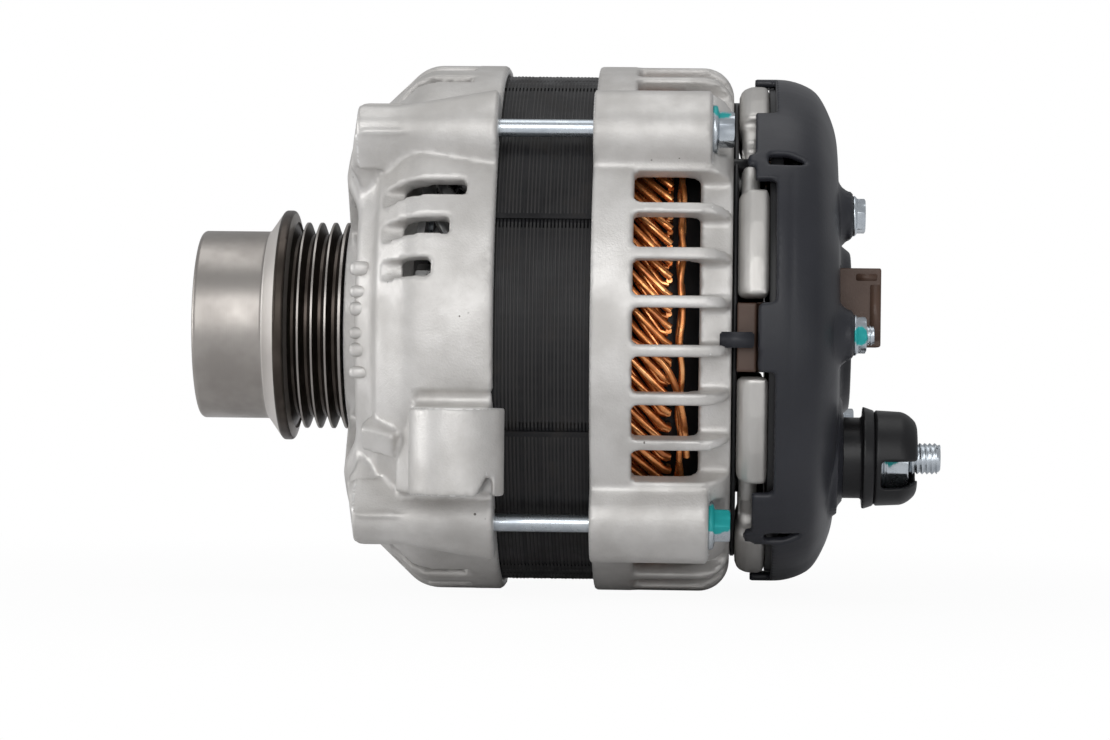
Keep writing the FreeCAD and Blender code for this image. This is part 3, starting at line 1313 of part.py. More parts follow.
def regulator_notch(body, name, front, back):
    """Room for the regulator in a plate, open to the near side."""
    sketch = new_sketch(body, name + "_outline", "YZ_Plane", front)
    outline(sketch, [
        ("-cover_radius - 1", "regulator_bottom - regulator_slot"),
        ("-cover_radius - 1", "regulator_top + regulator_slot"),
        ("0", "regulator_top + regulator_slot"),
        ("0", "regulator_bottom - regulator_slot"),
    ])
    pocketed(body, name, sketch, f"{back} - ({front})", reverse=True)


def output_hole(body, name, front, back, radius):
    """A round hole on the line of the output stud."""
    sketch = new_sketch(body, name + "_outline", "YZ_Plane", front)
    circle(sketch, "output_y", "output_z", radius)
    pocketed(body, name, sketch, f"{back} - ({front})", reverse=True)


def stud_holes(body, name, front, back):
    """Clear holes for the cover studs."""
    sketch = stud_circles(body, name, front, "stud_diameter / 2 + fastener_gap")
    pocketed(body, name, sketch, f"{back} - ({front})", reverse=True)


def lead_passage(body, name, front, back):
    """Clear holes for the phase leads."""
    sketch = new_sketch(body, name + "_outline", "YZ_Plane", front)
    turn_sketch(sketch, "lead_angle")
    circle(sketch, "0", "lead_circle / 2", "lead_diameter / 2 + 2 * fastener_gap")
    hole = pocketed(body, name, sketch, f"{back} - ({front})", reverse=True)
    spread(body, name + "_set", [hole], "3", "90")


def diode_pattern(body, name, front, back, radius, cut):
    """Six round seats or diodes on their circle, away from the regulator and the stud."""
    sketch = new_sketch(body, name + "_outline", "YZ_Plane", front)
    for number, angle in enumerate(DIODE_ANGLES):
        circle(sketch, f"diode_circle / 2 * cos({angle})", f"diode_circle / 2 * sin({angle})",
               radius, f"seat_{number}")
    if cut:
        pocketed(body, name, sketch, f"{back} - ({front})", reverse=True)
    else:
        padded(body, name, sketch, f"{back} - ({front})")


def sink_block(body, name, low, high):
    """A block of the heat sink rim that shows between housing and cover."""
    sketch = new_sketch(body, name + "_outline", "YZ_Plane", "sink_front")
    corners = []
    inner = "(sink_plate_radius - sink_plate)"
    steps = 3
    for number in range(steps + 1):
        angle = f"({low} + ({high} - {low}) * {number} / {steps})"
        corners.append((f"-sink_radius * cos{angle}", f"sink_radius * sin{angle}"))
    for angle in (high, low):
        corners.append((f"-{inner} * cos{angle}", f"{inner} * sin{angle}"))
    outline(sketch, corners)
    return padded(body, name, sketch, "sink_back - sink_front")


SIDE_BLOCKS = (
    ("high", "(block_high_start)", "(block_high_end)"),
    ("low", "(-block_low_end)", "(-block_low_start)"),
)
TOP_BLOCK = ("(90 - block_top_end)", "(90 - block_top_start)")


def make_heat_sinks():
    body = new_body("heat_sink_negative")
    turned(body, "negative_plate", [
        ("sink_plate_front", "sink_bore"), ("sink_plate_front", "sink_plate_radius"),
        (NEGATIVE_BACK, "sink_plate_radius"), (NEGATIVE_BACK, "sink_bore"),
    ])
    sides = [sink_block(body, f"block_{name}", low, high) for name, low, high in SIDE_BLOCKS]
    mirror(body, "far_blocks", sides, "XZ_Plane")
    top = sink_block(body, "block_top", *TOP_BLOCK)
    mirror_and_repeat(body, "top_and_bottom_blocks", [top])
    turned(body, "block_bevel", [
        ("sink_front - 1", "sink_radius - sink_bevel - 1"),
        ("sink_front + sink_bevel + 1", "sink_radius + 1"),
        ("sink_front - 1", "sink_radius + 1"),
    ], cut=True)
    regulator_notch(body, "negative_notch", "sink_front - 1", "sink_back + 1")
    output_hole(body, "negative_output_hole", "sink_front - 1", "sink_back + 1",
                "output_stud / 2 + 2 * fastener_gap + diode_height / 2")
    diode_pattern(body, "negative_seat", "sink_front - 1", "sink_back + 1",
                  "diode_diameter / 2", cut=True)
    stud_holes(body, "negative_stud_hole", "sink_front - 1", "sink_back + 1")
    lead_passage(body, "negative_lead_hole", "sink_front - 1", "sink_back + 1")
    body = new_body("heat_sink_positive")
    turned(body, "positive_plate", [
        ("positive_front", "sink_bore"), ("positive_front", "positive_radius"),
        (POSITIVE_BACK, "positive_radius"), (POSITIVE_BACK, "sink_bore"),
    ])
    regulator_notch(body, "positive_notch", "positive_front - 1", f"{POSITIVE_BACK} + 1")
    output_hole(body, "positive_output_hole", "positive_front - 1", f"{POSITIVE_BACK} + 1",
                "output_stud / 2")
    diode_pattern(body, "positive_seat", "positive_front - 1", f"{POSITIVE_BACK} + 1",
                  "diode_diameter / 2", cut=True)
    stud_holes(body, "positive_stud_hole", "positive_front - 1", f"{POSITIVE_BACK} + 1")


def make_diodes():
    body = new_body("diodes_negative", several=True)
    diode_pattern(body, "negative_diode", f"{NEGATIVE_BACK} - diode_height", NEGATIVE_BACK,
                  "diode_diameter / 2", cut=False)
    body = new_body("diodes_positive", several=True)
    diode_pattern(body, "positive_diode", "positive_front", "positive_front + diode_height",
                  "diode_diameter / 2", cut=False)


def make_terminal_plate():
    body = new_body("terminal_plate")
    back = "terminal_front + terminal_thickness"
    turned(body, "terminal_ring", [
        ("terminal_front", "sink_bore + hub_wall"), ("terminal_front", "terminal_radius"),
        (back, "terminal_radius"), (back, "sink_bore + hub_wall"),
    ])
    regulator_notch(body, "terminal_notch", "terminal_front - 1", f"{back} + 1")
    output_hole(body, "terminal_output_hole", "terminal_front - 1", f"{back} + 1",
                "output_stud / 2 + fastener_gap")
    stud_holes(body, "terminal_stud_hole", "terminal_front - 1", f"{back} + 1")
    body = new_body("phase_leads", several=True)
    lead = new_sketch(body, "phase_lead_outline", "YZ_Plane", "head_back")
    turn_sketch(lead, "lead_angle")
    circle(lead, "0", "lead_circle / 2", "lead_diameter / 2")
    wire = padded(body, "phase_lead", lead, "terminal_front - head_back")
    spread(body, "phase_lead_set", [wire], "3", "90")


make_heat_sinks()
make_diodes()
make_terminal_plate()


# Regulator, brush holder, brushes

HOLDER_FRONT = "(slip_front - holder_wall)"
HOLDER_BACK = f"({SLIP_BACK} + slip_width + holder_wall)"
SLIP_RADIUS = "(slip_diameter / 2)"
BRUSH_TIP = f"({SLIP_RADIUS} + running_gap)"
HOLDER_TIP = f"({BRUSH_TIP} + running_gap * 4)"


def box(body, name, front, back, near, far, low, high):
    """A straight block between six faces; near and far are places along Y."""
    sketch = new_sketch(body, name + "_outline", "YZ_Plane", front)
    outline(sketch, [(near, low), (near, high), (far, high), (far, low)])
    return padded(body, name, sketch, f"{back} - ({front})")


def hollow(body, name, front, back, near, far, low, high):
    """A straight pocket between six faces."""
    sketch = new_sketch(body, name + "_outline", "YZ_Plane", front)
    outline(sketch, [(near, low), (near, high), (far, high), (far, low)])
    return pocketed(body, name, sketch, f"{back} - ({front})", reverse=True)


def make_brush_gear():
    holder = new_body("brush_holder")
    half_height = "(brush_height / 2 + brush_play)"
    box(holder, "holder_block", HOLDER_FRONT, HOLDER_BACK,
        f"-{HOLDER_TIP} - holder_length", f"-{HOLDER_TIP}",
        f"-{half_height} - holder_wall", f"{half_height} + holder_wall")
    for name, slip in (("front", "slip_front"), ("rear", SLIP_BACK)):
        start = f"{slip} + (slip_width - brush_width) / 2"
        hollow(holder, f"brush_channel_{name}",
               f"{start} - brush_play", f"{start} + brush_width + brush_play",
               f"-{HOLDER_TIP} - holder_length + holder_wall", f"-{HOLDER_TIP} + 1",
               f"-{half_height}", half_height)
        brush = new_body(f"brush_{name}")
        box(brush, f"brush_{name}_block", start, f"{start} + brush_width",
            f"-{BRUSH_TIP} - brush_length", f"-{BRUSH_TIP}",
            "-brush_height / 2", "brush_height / 2")
        spring = new_body(f"brush_spring_{name}")
        coil = new_sketch(spring, f"brush_spring_{name}_outline", "XZ_Plane",
                          f"{BRUSH_TIP} + brush_length + brush_play")
        circle(coil, f"{start} + brush_width / 2", "0", "brush_width / 2 - brush_play * 4")
        padded(spring, f"brush_spring_{name}_coil", coil,
               f"holder_length + {HOLDER_TIP} - holder_wall - brush_length - {BRUSH_TIP}"
               " - 2 * brush_play")


def make_regulator():
    body = new_body("regulator")
    far = f"-{HOLDER_TIP} - holder_length - seat_gap"
    box(body, "regulator_block", "regulator_front", "regulator_back",
        "-regulator_inside", far, "regulator_bottom", "regulator_top")
    box(body, "regulator_foot", "regulator_front", "regulator_foot_back",
        "-regulator_outside", "-regulator_inside", "regulator_bottom", "regulator_top")
    stud_holes(body, "regulator_stud_hole", "regulator_front - 1", "regulator_back + 1")
    box(body, "connector_block", HOLDER_BACK,
                     "connector_back", "-connector_near - connector_wall",
                     "-connector_far", "connector_bottom", "connector_top")
    hollow(body, "connector_socket", "connector_back - connector_depth", "connector_back + 1",
           "-connector_near", "-connector_far - connector_wall",
           "connector_bottom + connector_wall", "connector_top - connector_wall")
    pins = new_body("connector_pins", several=True)
    middle = "-(connector_near + connector_far + connector_wall) / 2"
    for number, share in enumerate(("0.3", "0.5", "0.7")):
        up = f"(connector_bottom + (connector_top - connector_bottom) * {share})"
        box(pins, f"connector_pin_{number}", "connector_back - connector_depth",
            "connector_back - pin_tip",
            f"{middle} - pin_width / 2", f"{middle} + pin_width / 2",
            f"{up} - pin_width / 4", f"{up} + pin_width / 4")


make_brush_gear()
make_regulator()


# Rear cover with its studs and nuts

NUT_SEAT = "(cover_back + cover_wall)"


def make_cover():
    body = new_body("rear_cover")
    turned(body, "cover_blank", [
        ("cover_front", "0"),
        ("cover_front", "cover_radius"),
        ("cover_back", "cover_radius", "cover_corner"),
        ("cover_back", "plateau_radius + cover_wall"),
        ("plateau_back", "plateau_radius", "cover_wall / 2"),
        ("plateau_back", "0"),
    ])
    flat = new_sketch(body, "output_flat_outline", "YZ_Plane", "cover_back - 2 * cover_wall")
    circle(flat, "output_y", "output_z", "output_flange")
    padded(body, "output_flat", flat, "2 * cover_wall + rim_edge")
    seats = stud_circles(body, "stud_boss", "cover_back - cover_wall",
                         "nut_flange / 2 + cover_wall / 2")
    padded(body, "stud_bosses", seats, "2 * cover_wall")
    turned(body, "cover_inside", [
        ("cover_front - 1", "0"),
        ("cover_front - 1", "cover_radius - cover_wall"),
        ("cover_back - cover_wall", "cover_radius - cover_wall", "cover_corner - cover_wall"),
        ("cover_back - cover_wall", "plateau_radius"),
        ("plateau_back - cover_wall", "plateau_radius - cover_wall", "cover_wall / 2"),
        ("plateau_back - cover_wall", "0"),
    ], cut=True)
    stud_holes(body, "stud_hole", "cover_front", "plateau_back + 1")
    output_hole(body, "cover_output_hole", "cover_front", "plateau_back + 1",
                "barrel_diameter / 2 + fastener_gap")
    hollow(body, "cover_connector_hole", "cover_front + sink_back - sink_front",
           "plateau_back + 1", "-connector_near - connector_wall - fastener_gap",
           "-connector_far + fastener_gap", "connector_bottom - fastener_gap",
           "connector_top + fastener_gap")
    # Openings in the skirt through which the blocks of the heat sink show
    sides = [skirt_notch(body, name, low, high) for name, low, high in SIDE_BLOCKS]
    mirror(body, "far_notches", sides, "XZ_Plane")
    top = skirt_notch(body, "top", *TOP_BLOCK)
    mirror_and_repeat(body, "top_and_bottom_notches", [top])
    middle = new_sketch(body, "regulator_opening_outline", "YZ_Plane", "cover_front - 1")
    low = "regulator_bottom - fastener_gap"
    high = "regulator_top + fastener_gap"
    outline(middle, [
        ("-cover_radius - 1", low), ("-cover_radius - 1", high),
        ("-regulator_inside", high), ("-regulator_inside", low),
    ])
    pocketed(body, "regulator_opening", middle,
             "regulator_foot_back + fastener_gap - cover_front + 1", reverse=True)
    # Hooks that clip the skirt over the rim, each with a pointed slot behind it
    for name in ("hook_upper", "hook_lower"):
        skirt = "cover_radius - cover_wall / 2"
        tab_sketch = tangent_sketch(body, name, name, skirt, [
            ("hook_front", "-hook_width / 2"), ("hook_front", "hook_width / 2"),
            ("hook_back + cover_wall", "hook_width / 2"),
            ("hook_back + cover_wall", "-hook_width / 2"),
        ])
        tab = padded(body, f"{name}_tab", tab_sketch, "cover_wall", both=True)
        slot_sketch = tangent_sketch(body, f"{name}_slot", name, skirt, [
            ("hook_back", "-hook_width / 2"), ("hook_back", "hook_width / 2"),
            ("hook_slot_middle", "hook_width / 2"), ("hook_slot_back", "0"),
            ("hook_slot_middle", "-hook_width / 2"),
        ])
        opening = pocketed(body, f"{name}_opening", slot_sketch, "4 * cover_wall", both=True)
        mirror(body, f"{name}_far", [tab, opening], "XZ_Plane")


def skirt_notch(body, name, low, high):
    sketch = new_sketch(body, f"skirt_notch_{name}_outline", "YZ_Plane", "cover_front - 1")
    corners = []
    steps = 3
    wide = "(cover_radius + hub_wall)"
    narrow = "(sink_plate_radius)"
    for number in range(steps + 1):
        angle = f"({low} - block_room + ({high} - {low} + 2 * block_room) * {number} / {steps})"
        corners.append((f"-{wide} * cos{angle}", f"{wide} * sin{angle}"))
    for angle in (f"({high} + block_room)", f"({low} - block_room)"):
        corners.append((f"-{narrow} * cos{angle}", f"{narrow} * sin{angle}"))
    outline(sketch, corners)
    return pocketed(body, f"skirt_notch_{name}", sketch,
                    "sink_back + 2 * rim_edge - cover_front + 1", reverse=True)


def make_cover_studs():
    studs = new_body("cover_studs", several=True)
    nuts = new_body("cover_nuts", several=True)
    for name, across, up, tip in STUDS:
        rod = new_sketch(studs, f"stud_{name}_outline", "YZ_Plane", "stud_front")
        circle(rod, across, up, "stud_diameter / 2")
        padded(studs, f"stud_{name}", rod, f"{tip} - stud_front")
        head = new_sketch(nuts, f"nut_{name}_outline", "YZ_Plane", NUT_SEAT)
        hexagon(head, across, up, "nut_hex")
        padded(nuts, f"nut_{name}", head, "nut_height")
    flanges = stud_circles(nuts, "nut_flange", NUT_SEAT, "nut_flange / 2")
    padded(nuts, "nut_flanges", flanges, "nut_height / 4")
    holes = stud_circles(nuts, "nut_bore", NUT_SEAT, "stud_diameter / 2 + seat_gap")
    pocketed(nuts, "nut_bores", holes, "nut_height + 1", reverse=True)


make_cover()
make_cover_studs()


# Output terminal

def round_piece(label, front, back, radius, bore):
    """A disc or sleeve on the line of the output stud."""
    body = new_body(label)
    sketch = new_sketch(body, f"{label}_outline", "YZ_Plane", front)
    circle(sketch, "output_y", "output_z", radius, "outside")
    if bore:
        circle(sketch, "output_y", "output_z", bore, "inside")
    padded(body, f"{label}_pad", sketch, f"{back} - ({front})")
    return body


def make_output_terminal():
    bore = "output_stud / 2 + seat_gap"
    stud = round_piece("output_stud_bolt", "positive_front", "output_tip", "output_shank / 2", None)
    thread = new_sketch(stud, "output_thread_outline", "YZ_Plane",
                        "collar_back + cover_wall + output_nut_height")
    circle(thread, "output_y", "output_z", "output_stud / 2")
    padded(stud, "output_thread", thread,
           "output_tip - collar_back - cover_wall - output_nut_height")
    base = new_sketch(stud, "output_stud_base_outline", "YZ_Plane", POSITIVE_BACK)
    circle(base, "output_y", "output_z", "output_washer / 2")
    padded(stud, "output_stud_base", base, "cover_wall")
    insulator = round_piece("output_insulator", f"{POSITIVE_BACK} + cover_wall", "collar_front",
                            "barrel_diameter / 2", bore)
    collar = new_sketch(insulator, "output_collar_outline", "YZ_Plane", "collar_front")
    circle(collar, "output_y", "output_z", "collar_diameter / 2", "outside")
    circle(collar, "output_y", "output_z", bore, "inside")
    padded(insulator, "output_collar", collar, "collar_back - collar_front")
    shroud = round_piece("output_shroud", "collar_back", "shroud_back",
                         "collar_diameter / 2", "collar_diameter / 2 - shroud_wall")
    hollow(shroud, "shroud_window", "collar_back + holder_wall", "shroud_back + 1",
           "output_y - collar_diameter", "output_y",
           "output_z - shroud_window - shroud_window_top", "output_z - shroud_window_top")
    round_piece("output_washer_disc", "collar_back", "collar_back + cover_wall",
                "output_washer / 2", bore)
    nut = new_body("output_nut_hexagon")
    flats = new_sketch(nut, "output_nut_outline", "YZ_Plane", "collar_back + cover_wall")
    hexagon(flats, "output_y", "output_z", "output_nut")
    padded(nut, "output_nut_pad", flats, "output_nut_height")
    hole = new_sketch(nut, "output_nut_bore_outline", "YZ_Plane", "collar_back")
    circle(hole, "output_y", "output_z", bore)
    pocketed(nut, "output_nut_bore", hole, "cover_wall + output_nut_height + 1", reverse=True)


make_output_terminal()


# Check and export

def check_and_export():
    doc.recompute()
    problems = []
    for item in doc.Objects:
        if "Invalid" in item.State or "Error" in item.State:
            problems.append(f"{item.Name}: {item.State}")
    pieces = [item for item in doc.Objects if item.TypeId == "PartDesign::Body"]
    for piece in pieces:
        shape = piece.Shape
        if shape.isNull() or not shape.isValid() or not shape.Solids:
            problems.append(f"{piece.Label}: no valid solid")
    if problems:
        raise SystemExit("\n".join(problems))
    os.makedirs("parts", exist_ok=True)
    for piece in pieces:
        piece.Shape.exportStep(f"parts/{piece.Label}.step")
        print(piece.Label, len(piece.Shape.Solids), round(piece.Shape.Volume, 1))


check_and_export()
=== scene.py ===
# %% [markdown]
# # Dressing an engine alternator
#
# The solids of this alternator come from CAD: two cast housings, a laminated core between them, a
# rotor inside, a freewheel pulley in front and a moulded cover behind. This notebook gives them
# their looks. Each step says what the piece is on the real object, how it could be made in
# Blender, and why it is made this way here.
#
# Everything is in metres. The shaft lies along X, the pulley is at the low end and the cover at
# the high end, Z is up, and the camera looks along +Y. Places in mm are turned into metres with
# MM.

import math

import bmesh
import bpy
import numpy as np
from mathutils import Matrix, Vector
from mathutils.bvhtree import BVHTree


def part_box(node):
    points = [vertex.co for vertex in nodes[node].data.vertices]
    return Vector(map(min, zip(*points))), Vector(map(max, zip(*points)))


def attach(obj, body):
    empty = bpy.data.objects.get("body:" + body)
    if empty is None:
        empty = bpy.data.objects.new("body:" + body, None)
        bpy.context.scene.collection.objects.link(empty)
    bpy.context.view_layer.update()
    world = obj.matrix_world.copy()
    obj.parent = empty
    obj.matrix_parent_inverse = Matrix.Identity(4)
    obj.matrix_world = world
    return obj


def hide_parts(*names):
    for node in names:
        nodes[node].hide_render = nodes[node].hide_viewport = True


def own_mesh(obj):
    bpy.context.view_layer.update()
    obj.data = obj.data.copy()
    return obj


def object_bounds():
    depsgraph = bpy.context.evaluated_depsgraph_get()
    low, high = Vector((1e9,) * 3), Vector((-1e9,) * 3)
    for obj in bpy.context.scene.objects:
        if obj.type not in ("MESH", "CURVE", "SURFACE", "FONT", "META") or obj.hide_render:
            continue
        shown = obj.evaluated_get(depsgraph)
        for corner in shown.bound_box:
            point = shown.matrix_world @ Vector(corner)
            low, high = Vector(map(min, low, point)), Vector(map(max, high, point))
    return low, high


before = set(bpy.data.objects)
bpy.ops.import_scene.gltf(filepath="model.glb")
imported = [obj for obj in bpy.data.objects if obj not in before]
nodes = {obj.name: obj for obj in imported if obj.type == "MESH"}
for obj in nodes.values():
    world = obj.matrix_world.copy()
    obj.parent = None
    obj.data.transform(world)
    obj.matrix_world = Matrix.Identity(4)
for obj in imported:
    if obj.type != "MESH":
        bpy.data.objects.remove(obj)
cad_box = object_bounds()
MM = 0.001


def in_mm(box):
    return [[round(value / MM, 1) for value in corner] for corner in box]


print("solids:", len(nodes), "box of the CAD model in mm:", in_mm(cad_box))

# %% Helpers that all later steps share
def in_scene(name, data):
    """A new object with that data, linked to the scene."""
    made = bpy.data.objects.new(name, data)
    bpy.context.collection.objects.link(made)
    return made


def node_of(tree, kind, links=(), **settings):
    """Adds a node, sets its own settings, and links or sets its inputs."""
    node = tree.nodes.new(kind)
    for label, value in settings.items():
        setattr(node, label, value)
    for target, source in dict(links).items():
        socket = node.inputs[target]
        if isinstance(source, bpy.types.NodeSocket):
            tree.links.new(source, socket)
        else:
            socket.default_value = source
    return node


def node_tree(name, kind, inputs, outputs):
    """A node tree with inputs (label, socket kind, start value) and outputs (label, kind)."""
    tree = bpy.data.node_groups.new(name, kind)
    for label, held, start in inputs:
        socket = tree.interface.new_socket(label, in_out="INPUT", socket_type="NodeSocket" + held)
        if start is not None:
            socket.default_value = start
    for label, held in outputs:
        tree.interface.new_socket(label, in_out="OUTPUT", socket_type="NodeSocket" + held)
    return tree, tree.nodes.new("NodeGroupInput").outputs, tree.nodes.new("NodeGroupOutput").inputs


def empty_tree(owner):
    """The node tree of a world or a material, without its first nodes."""
    owner.use_nodes = True
    owner.node_tree.nodes.clear()
    return owner.node_tree


# %% [markdown]
# ## The camera
#
# The photograph was taken from far away with a long lens: the near and the far side of the
# housings come out almost the same size. A perspective camera about a metre off with a narrow
# angle gives that. The object stands turned by a few degrees, with its cover end nearer to the
# lens, and the camera is tilted a little, so the shaft drops towards the right of the picture.

# %% Place the camera
CAMERA_DISTANCE = 0.98
CAMERA_YAW = math.radians(2.6)
CAMERA_ROLL = math.radians(0.67)
VIEW_WIDTH = 0.293
SENSOR_WIDTH = 36.0
LOOK_AT = Vector((0.0619, 0.0, -0.0111))

sight = Vector((-math.sin(CAMERA_YAW), math.cos(CAMERA_YAW), 0.0))
camera_data = bpy.data.cameras.new("product_camera")
camera_data.sensor_width = SENSOR_WIDTH
camera_data.lens = SENSOR_WIDTH * CAMERA_DISTANCE / VIEW_WIDTH
camera_data.clip_start = 0.05
camera_data.clip_end = 20.0
camera = in_scene("product_camera", camera_data)
camera.location = LOOK_AT - CAMERA_DISTANCE * sight
camera.rotation_euler = (
    sight.to_track_quat("-Z", "Y").to_matrix() @ Matrix.Rotation(CAMERA_ROLL, 3, "Z")
).to_euler()
bpy.context.scene.camera = camera
print("lens", round(camera_data.lens), "mm, camera at", [round(c, 3) for c in camera.location])

# %% [markdown]
# ## Light and ground
#
# Product photographs of metal are lit by large soft boxes, so that every surface reflects a broad
# even field and no lamp shows as a hot spot. Four big area lamps do that here: one over the
# camera's left shoulder, one above, one low on the right and one on the left for the pulley. The
# world adds an even fill, but the camera sees it as plain white, by way of the Light Path node.
# The ground glows white for the camera too, a little less so near the object, where it also keeps
# a trace of its shadow.

# %% Build the light, the world and the ground
CENTRE = (0.06, 0.0, 0.0)
WHITE = (1.0, 1.0, 1.0, 1.0)
GROUND_GAP = 0.2 * MM
GROUND_LEVEL = cad_box[0][2] - GROUND_GAP
GROUND_REACH = 3.0

scene = bpy.context.scene
scene.view_settings.view_transform = "Standard"


def soft_box(name, place, wide, high, power):
    """An area lamp at place that faces the object."""
    lamp = bpy.data.lights.new(name, "AREA")
    lamp.shape = "RECTANGLE"
    lamp.size = wide
    lamp.size_y = high
    lamp.energy = power
    holder = in_scene(name, lamp)
    holder.location = place
    holder.rotation_euler = (Vector(CENTRE) - Vector(place)).to_track_quat("-Z", "Z").to_euler()


soft_box("front_box", (-0.15, -1.25, 0.40), 1.0, 0.8, 6.8)
soft_box("top_box", (0.10, 0.05, 1.30), 1.1, 0.9, 4.0)
soft_box("low_box", (0.65, -1.00, -0.10), 0.6, 0.6, 2.6)
soft_box("left_box", (-1.20, -0.02, 0.10), 0.7, 0.7, 6.0)

world = bpy.data.worlds.new("studio")
scene.world = world
tree = empty_tree(world)
path = node_of(tree, "ShaderNodeLightPath")
fill = node_of(tree, "ShaderNodeBackground", {"Color": (0.97, 0.98, 1.0, 1.0), "Strength": 0.40})
white = node_of(tree, "ShaderNodeBackground", {"Color": WHITE, "Strength": 1.0})
seen = node_of(tree, "ShaderNodeMixShader", {
    "Fac": path.outputs["Is Camera Ray"], 1: fill.outputs[0], 2: white.outputs[0]})
node_of(tree, "ShaderNodeOutputWorld", {"Surface": seen.outputs["Shader"]})

paper = bpy.data.materials.new("ground_paper")
tree = empty_tree(paper)
path = node_of(tree, "ShaderNodeLightPath")
place = node_of(tree, "ShaderNodeTexCoord")
away = node_of(tree, "ShaderNodeVectorMath", {
    0: place.outputs["Object"], 1: (CENTRE[0], CENTRE[1], GROUND_LEVEL)}, operation="DISTANCE")
fade = node_of(tree, "ShaderNodeMapRange", {
    "Value": away.outputs["Value"], "From Min": 0.10, "From Max": 0.32, "To Min": 0.95,
    "To Max": 1.0}, interpolation_type="SMOOTHSTEP")
share = node_of(tree, "ShaderNodeMath", {
    0: path.outputs["Is Camera Ray"], 1: fade.outputs["Result"]}, operation="MULTIPLY")
matte = node_of(tree, "ShaderNodeBsdfDiffuse", {"Color": (0.86, 0.86, 0.87, 1.0)})
glow = node_of(tree, "ShaderNodeEmission", {"Color": WHITE, "Strength": 1.0})
blend = node_of(tree, "ShaderNodeMixShader", {
    "Fac": share.outputs["Value"], 1: matte.outputs["BSDF"], 2: glow.outputs["Emission"]})
node_of(tree, "ShaderNodeOutputMaterial", {"Surface": blend.outputs["Shader"]})

ground_mesh = bpy.data.meshes.new("ground")
ground_mesh.from_pydata(
    [(side * GROUND_REACH, depth * GROUND_REACH, GROUND_LEVEL)
     for side, depth in ((-1, -1), (1, -1), (1, 1), (-1, 1))], [], [(0, 1, 2, 3)])
ground_mesh.materials.append(paper)
ground = in_scene("ground", ground_mesh)
print("ground at", round(GROUND_LEVEL / MM, 1), "mm")

# %% [markdown]
# ## Finishes, part one: patterns that several materials share
#
# Cast metal, turned metal and moulded plastic all need some grain, blotches and wear, only at
# different sizes. A shader node group works like a function: it is built once, and every material
# calls it with its own numbers. The groups below give out masks and heights only. The Principled
# shader stays in the material itself, where an exporter can find it.

# %% Helpers for nodes
def wire(tree, source, target):
    tree.links.new(source, target)


def sums(tree, kind, *terms):
    return node_of(tree, "ShaderNodeMath", dict(enumerate(terms)), operation=kind).outputs["Value"]


def vector(tree, *parts):
    return node_of(tree, "ShaderNodeCombineXYZ", dict(enumerate(parts))).outputs["Vector"]


def noise(tree, place, scale, detail=2.0, rough=0.5):
    return node_of(tree, "ShaderNodeTexNoise", {
        "Vector": place, "Scale": scale, "Detail": detail, "Roughness": rough}).outputs["Fac"]


def stretch(tree, value, low, high, new_low=0.0, new_high=1.0):
    """Spreads low..high to new_low..new_high, softly and with clamped ends."""
    return node_of(tree, "ShaderNodeMapRange", {
        "Value": value, "From Min": low, "From Max": high, "To Min": new_low,
        "To Max": new_high}, interpolation_type="SMOOTHSTEP").outputs["Result"]


def scaled_place(tree, place, across):
    """The place with each axis multiplied, to draw a pattern out along an axis."""
    return node_of(tree, "ShaderNodeVectorMath", {0: place, 1: across},
                   operation="MULTIPLY").outputs["Vector"]


def pattern_tree(name, numbers, outputs):
    """A shader node group that takes a place and some numbers and gives out floats."""
    inputs = [("Place", "Vector", None)] + [(label, "Float", start) for label, start in numbers]
    return node_tree(name, "ShaderNodeTree", inputs, [(label, "Float") for label in outputs])


# %% Build the shared patterns
def cast_grain_group():
    """Sand grain, blotches and rare pits of a casting."""
    group, given, result = pattern_tree("cast_grain", (
        ("Grain Scale", 1400.0), ("Blotch Scale", 55.0)), ("Height", "Blotch", "Pits"))
    fine = noise(group, given["Place"], given["Grain Scale"], 3.0, 0.6)
    broad = noise(group, given["Place"], given["Blotch Scale"], 4.0, 0.55)
    cells = node_of(group, "ShaderNodeTexVoronoi", {"Scale": 260.0, "Vector": given["Place"]})
    spots = sums(group, "LESS_THAN", cells.outputs["Distance"], 0.085)
    rare = stretch(group, noise(group, given["Place"], 90.0, 1.0), 0.62, 0.68)
    pits = sums(group, "MULTIPLY", spots, rare)
    mixed_grain = sums(group, "MULTIPLY_ADD", broad, 0.5, fine)
    wire(group, sums(group, "MULTIPLY_ADD", pits, -1.5, mixed_grain), result["Height"])
    wire(group, stretch(group, broad, 0.3, 0.7), result["Blotch"])
    wire(group, pits, result["Pits"])
    return group


def turning_marks_group():
    """Fine rings left by a lathe tool round the X axis, broken up a little."""
    group, given, result = pattern_tree("turning_marks", (
        ("Ring Scale", 3000.0), ("Cloud Scale", 80.0)), ("Height", "Cloud"))
    drawn = scaled_place(group, given["Place"], (1.0, 0.02, 0.02))
    cloud = noise(group, given["Place"], given["Cloud Scale"], 3.0, 0.6)
    wire(group, noise(group, drawn, given["Ring Scale"], 2.0, 0.6), result["Height"])
    wire(group, stretch(group, cloud, 0.3, 0.7), result["Cloud"])
    return group


def mould_texture_group():
    """The eroded, slightly pebbled face of a plastic mould."""
    group, given, result = pattern_tree("mould_texture", (
        ("Pebble Scale", 2200.0), ("Sheen Scale", 40.0)), ("Height", "Sheen"))
    sheen = noise(group, given["Place"], given["Sheen Scale"], 3.0, 0.5)
    wire(group, noise(group, given["Place"], given["Pebble Scale"]), result["Height"])
    wire(group, stretch(group, sheen, 0.3, 0.7), result["Sheen"])
    return group


CAST_GRAIN = cast_grain_group()
TURNING_MARKS = turning_marks_group()
MOULD_TEXTURE = mould_texture_group()
print("pattern groups:", [group.name for group in (CAST_GRAIN, TURNING_MARKS, MOULD_TEXTURE)])

